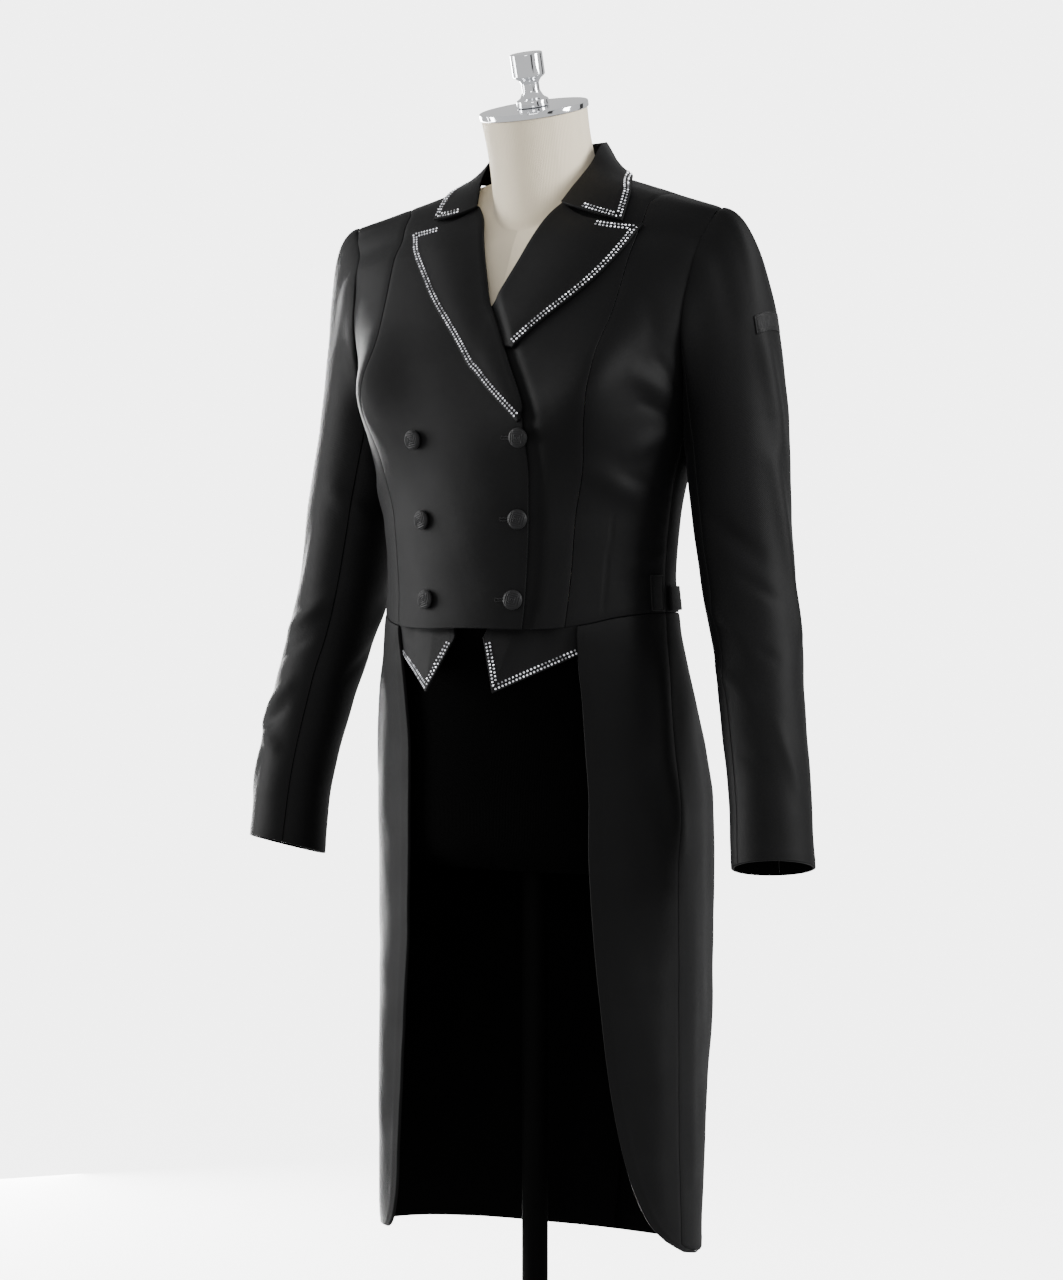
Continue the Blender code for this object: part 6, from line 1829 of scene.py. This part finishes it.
class BuildForm(bpy.types.Operator):
    """The dress form: upper body with its neck, hips, neck plate, knob, pole and base"""
    bl_idname = "tailcoat.build_form"
    bl_label = "Dress form and stand"

    around = 128

    def execute(self, context):
        self.hips()
        self.torso()
        self.fittings()
        return {"FINISHED"}

    def body_ring(self, level, inset):
        angle = np.linspace(0.0, 360.0, self.around, endpoint=False)
        own = np.where(angle <= 180.0, angle, 360.0 - angle)
        side = np.where(angle <= 180.0, 1.0, -1.0)
        points = body_point(own, level) - body_normal(own, level) * inset
        points[:, 0] *= side
        return points

    def loft(self, name, rings, finish, slot, node):
        """Rings joined into one closed skin."""
        ring = np.array(rings)
        count, around = ring.shape[:2]
        low, high = ring[0].mean(0), ring[-1].mean(0)
        points = np.concatenate([ring.reshape(-1, 3), [low], [high]])
        up = arc_lengths(ring.swapaxes(0, 1)).T
        across = arc_lengths(np.concatenate([ring, ring[:, :1]], axis=1))
        faces, spread = [], []
        for j in range(around):
            k = (j + 1) % around
            faces += [(len(points) - 2, k, j),
                      (len(points) - 1, (count - 1) * around + j, (count - 1) * around + k)]
            spread += [(across[0, j], -0.05), (across[0, j + 1], 0.0), (across[0, j], 0.0)]
            spread += [(across[-1, j], up[-1, j] + 0.05), (across[-1, j], up[-1, j]),
                       (across[-1, j + 1], up[-1, k])]
            for i in range(count - 1):
                a, b = i * around, (i + 1) * around
                faces.append((a + j, a + k, b + k, b + j))
                spread += [(across[i, j], up[i, j]), (across[i, j + 1], up[i, k]),
                           (across[i + 1, j + 1], up[i + 1, k]), (across[i + 1, j], up[i + 1, j])]
        mesh = bpy.data.meshes.new(name)
        mesh.from_pydata(points.tolist(), [], faces)
        layer = mesh.uv_layers.new(name="cloth_metres")
        layer.data.foreach_set("uv", np.array(spread, np.float32).ravel())
        mesh.materials.append(finish)
        mesh.shade_smooth()
        mesh.set_sharp_from_angle(angle=radians(60))
        add_piece(name, mesh, slot, node)

    def hips(self):
        rings = []
        for level, inset in ((HIPS_BOTTOM, 0.040), (HIPS_BOTTOM + 0.0015, 0.030),
                             (HIPS_BOTTOM + 0.005, 0.022), (HIPS_BOTTOM + 0.014, 0.0135),
                             (HIPS_BOTTOM + 0.024, 0.0108), (HIPS_BOTTOM + 0.034, FORM_INSET)):
            rings.append(self.body_ring(level, inset))
        rings[0][:, 2] = HIPS_BOTTOM
        for level in np.linspace(0.79, FORM_SPLIT - SEAM, 40):
            rings.append(self.body_ring(level, FORM_INSET))
        rings[-1][:, 2] = FORM_SPLIT - SEAM
        self.loft("form_hips_cover", rings, hip_jersey(), "black_jersey", "form_hips")

    def torso(self):
        rings = [self.body_ring(level, FORM_INSET) for level in np.linspace(FORM_SPLIT, 1.22, 44)]
        rings[0][:, 2] = FORM_SPLIT
        outline = rings[-1]
        turn = np.linspace(0.0, 2 * pi, self.around, endpoint=False)
        foot = np.stack([NECK_RADIUS * np.sin(turn), NECK_BACK - NECK_RADIUS * np.cos(turn)],
                        axis=-1)
        for share in np.linspace(0.02, 1.0, 50):
            spot = outline[:, :2] * (1 - share) + foot * share
            height = under_roof(spot[:, 0], spot[:, 1])
            rings.append(np.concatenate([spot, height[:, None]], axis=1))
        neck_foot = rings[-1]
        rim = self.neck_rim(turn, NECK_RADIUS, -PLATE_THICK / 2 - SEAM)
        for share in np.linspace(0.04, 1.0, 26):
            ring = neck_foot * (1 - share) + rim * share
            centre = ring.mean(0)
            waist = 1 - 0.035 * sin(pi * share)
            rings.append(centre + (ring - centre) * np.array((waist, waist, 1.0)))
        rings.append(self.neck_rim(turn, NECK_RADIUS - 0.0008, -PLATE_THICK / 2 - SEAM + 0.00005))
        self.loft("form_torso_cover", rings, form_jersey(), "cream_jersey", "form_torso")

    def neck_rim(self, turn, radius, height):
        tilt = Matrix.Rotation(PLATE_TILT, 3, "X")
        return np.array([PLATE_CENTRE + tilt @ Vector((radius * sin(t), -radius * cos(t), height))
                         for t in turn])

    def fittings(self):
        place = Matrix.Translation(PLATE_CENTRE) @ Matrix.Rotation(PLATE_TILT, 4, "X")
        half = PLATE_THICK / 2
        plate = [(0.0, half), (PLATE_RADIUS, half), (PLATE_RADIUS, -half), (0.0, -half)]
        lathe("neck_plate_chrome", rounded(plate, 0.0013), 128, bright_chrome(), place,
              "polished_chrome", "neck_plate")
        knob = [(0.0, 0.0490), (0.0150, 0.0490), (0.0150, 0.0280), (0.0105, 0.0250),
                (0.0082, 0.0215), (0.0082, 0.0140), (0.0110, 0.0085), (0.0150, 0.0062),
                (0.0150, 0.0), (0.0, 0.0)]
        lift = Matrix.Translation((0.0, 0.0, half + SEAM))
        lathe("knob_chrome", rounded(knob, 0.0014), 96, bright_chrome(), place @ lift,
              "polished_chrome", "knob")
        base = [(0.0, BASE_HEIGHT), (BASE_RADIUS, BASE_HEIGHT), (BASE_RADIUS, 0.0), (0.0, 0.0)]
        lathe("base_plate", rounded(base, 0.0022), 160, base_steel(), Matrix.Identity(4),
              "brushed_steel", "base")
        foot = BASE_HEIGHT + SEAM
        flange = POLE_RADIUS * 2.2
        pole = [(0.0, HIPS_BOTTOM - SEAM), (POLE_RADIUS, HIPS_BOTTOM - SEAM),
                (POLE_RADIUS, foot + 0.020), (POLE_RADIUS * 1.5, foot + 0.014),
                (flange, foot + 0.010), (flange, foot), (0.0, foot)]
        lathe("pole_painted", rounded(pole, 0.002), 64, pole_paint_and_shade(), Matrix.Identity(4),
              "matte_black_paint", "pole")


class BuildStage(bpy.types.Operator):
    """The pale studio: round backdrop, soft lamps and the photograph's camera"""
    bl_idname = "tailcoat.build_stage"
    bl_label = "Stage, lights and camera"

    def execute(self, context):
        self.backdrop()
        self.lamps()
        self.dark_cards()
        self.camera()
        return {"FINISHED"}

    def backdrop(self):
        """A floor that sweeps up into a round wall, the same from every side."""
        stage = bpy.context.scene.stage_settings
        radius, sweep, tall = stage.backdrop_radius, 3.0, 9.0
        profile = [(0.0, 0.0), (0.6, 0.0), (2.0, 0.0), (radius - sweep, 0.0)]
        profile += [(radius - sweep + sweep * sin(pi / 2 * i / 16),
                     sweep - sweep * cos(pi / 2 * i / 16))
                    for i in range(1, 17)]
        profile.append((radius, tall))
        steps = 96
        points = [(0.0, 0.0, 0.0)]
        for reach, height in profile[1:]:
            for j in range(steps):
                turn = 2 * pi * j / steps
                points.append((reach * cos(turn), reach * sin(turn), height))
        mesh = bpy.data.meshes.new("backdrop")
        mesh.from_pydata(points, [], turned_faces(len(profile) - 1, steps, closed=False))
        mesh.shade_smooth()
        paper = Shader("backdrop_paper", Base_Color=rgba(stage.backdrop_colour), Roughness=0.9,
                       Specular_IOR_Level=0.1, Emission_Strength=stage.backdrop_glow,
                       Emission_Color=(1.0, 1.0, 1.0, 1.0))
        mesh.materials.append(paper.material)
        made = bpy.data.objects.new("backdrop", mesh)
        made.visible_diffuse = False
        made.visible_glossy = False
        bpy.context.scene.collection.objects.link(made)
        world = bpy.data.worlds.new("studio_air")
        world.use_nodes = True
        air = world.node_tree.nodes["Background"].inputs
        air["Color"].default_value = (1.0, 1.0, 1.0, 1.0)
        air["Strength"].default_value = AIR_STRENGTH
        bpy.context.scene.world = world

    def lamps(self):
        strength = bpy.context.scene.stage_settings.light_strength
        Lamp = namedtuple("Lamp", "name at aim width height power")
        lamps = [
            Lamp("key_softbox", (-3.0, -0.9, 1.4), (-0.05, 0.0, 0.80), 1.2, 2.4, 135.0),
            Lamp("edge_softbox", (-2.4, 1.6, 0.75), (-0.1, 0.0, 0.9), 0.9, 2.6, 260.0),
            Lamp("far_softbox", (3.0, 0.7, 2.3), (0.1, 0.0, 1.0), 0.9, 2.4, 170.0),
            Lamp("front_softbox", (2.0, -4.0, 1.6), (0.0, 0.0, 0.9), 1.6, 1.2, 34.0),
        ]
        for lamp in lamps:
            light = bpy.data.lights.new(lamp.name, "AREA")
            light.shape = "RECTANGLE"
            light.size, light.size_y = lamp.width, lamp.height
            light.energy = lamp.power * strength
            made = bpy.data.objects.new(lamp.name, light)
            made.location = lamp.at
            made.rotation_mode = "QUATERNION"
            way = Vector(lamp.aim) - Vector(lamp.at)
            made.rotation_quaternion = way.to_track_quat("-Z", "Y")
            bpy.context.scene.collection.objects.link(made)

    def dark_cards(self):
        """Dark cards beside the coat, seen only in the bright metal and the stones."""
        card = Shader("dark_card", Base_Color=(0.01, 0.01, 0.01, 1.0), Roughness=0.9)
        Card = namedtuple("Card", "turn distance low high half")
        cards = [Card(-78.0, 2.2, 0.9, 2.1, 0.16), Card(18.0, 3.0, 0.9, 2.2, 0.10),
                 Card(66.0, 2.2, 0.9, 2.1, 0.22), Card(150.0, 2.4, 0.9, 2.4, 0.3)]
        for number, spot in enumerate(cards):
            turn = radians(spot.turn)
            middle = Vector((sin(turn), -cos(turn), 0.0)) * spot.distance
            aside = Vector((cos(turn), sin(turn), 0.0)) * spot.half
            corners = [middle - aside, middle + aside, middle + aside, middle - aside]
            for corner, height in zip(corners, (spot.low, spot.low, spot.high, spot.high)):
                corner.z = height
            mesh = bpy.data.meshes.new(f"dark_card_{number}")
            mesh.from_pydata([tuple(corner) for corner in corners], [], [(0, 1, 2, 3)])
            mesh.materials.append(card.material)
            made = bpy.data.objects.new(f"dark_card_{number}", mesh)
            made.visible_camera = made.visible_diffuse = made.visible_shadow = False
            bpy.context.scene.collection.objects.link(made)

    def camera(self):
        data = bpy.data.cameras.new("photo_camera")
        data.lens = CAMERA_LENS
        data.sensor_width = 36.0
        data.clip_end = 60.0
        made = bpy.data.objects.new("photo_camera", data)
        right = Vector((cos(CAMERA_ROUND), sin(CAMERA_ROUND), 0.0))
        out = Vector((sin(CAMERA_ROUND), -cos(CAMERA_ROUND), 0.0))
        made.location = out * CAMERA_DISTANCE + Vector((0, 0, CAMERA_HEIGHT))
        aim = right * -CAMERA_ASIDE
        aim.z = CAMERA_HEIGHT - tan(CAMERA_TILT) * CAMERA_DISTANCE
        made.rotation_mode = "QUATERNION"
        made.rotation_quaternion = (aim - made.location).to_track_quat("-Z", "Y")
        bpy.context.scene.collection.objects.link(made)
        bpy.context.scene.camera = made


class TailcoatPanel(bpy.types.Panel):
    """The coat's pieces, in the order they are built"""
    bl_idname = "VIEW3D_PT_tailcoat"
    bl_label = "Riding tailcoat"
    bl_space_type = "VIEW_3D"
    bl_region_type = "UI"
    bl_category = "Tailcoat"

    def draw(self, context):
        for operator in OPERATORS:
            self.layout.operator(operator.bl_idname)
        for settings in ("coat_settings", "form_settings", "stage_settings"):
            group = getattr(context.scene, settings)
            box = self.layout.box()
            for name in group.bl_rna.properties.keys():
                if name not in ("rna_type", "name"):
                    box.prop(group, name)


GROUPS = {"coat_settings": CoatSettings, "form_settings": FormSettings,
          "stage_settings": StageSettings}
OPERATORS = [BuildStage, BuildForm, BuildBodice, BuildTails, BuildCollar, BuildSleeves, BuildVest,
             BuildTabs, BuildButtons, BuildStones]
CLASSES = [*GROUPS.values(), *OPERATORS, TailcoatPanel]


def register():
    for item in CLASSES:
        bpy.utils.register_class(item)
    for name, group in GROUPS.items():
        setattr(bpy.types.Scene, name, PointerProperty(type=group))


def unregister():
    for name in GROUPS:
        delattr(bpy.types.Scene, name)
    for item in reversed(CLASSES):
        bpy.utils.unregister_class(item)


def main():
    register()
    bpy.ops.tailcoat.build_stage()
    bpy.ops.tailcoat.build_form()
    bpy.ops.tailcoat.build_bodice()
    bpy.ops.tailcoat.build_tails()
    bpy.ops.tailcoat.build_collar()
    bpy.ops.tailcoat.build_sleeves()
    bpy.ops.tailcoat.build_vest()
    bpy.ops.tailcoat.build_tabs()
    bpy.ops.tailcoat.build_buttons()
    bpy.ops.tailcoat.build_stones()


if __name__ == "__main__":
    main()
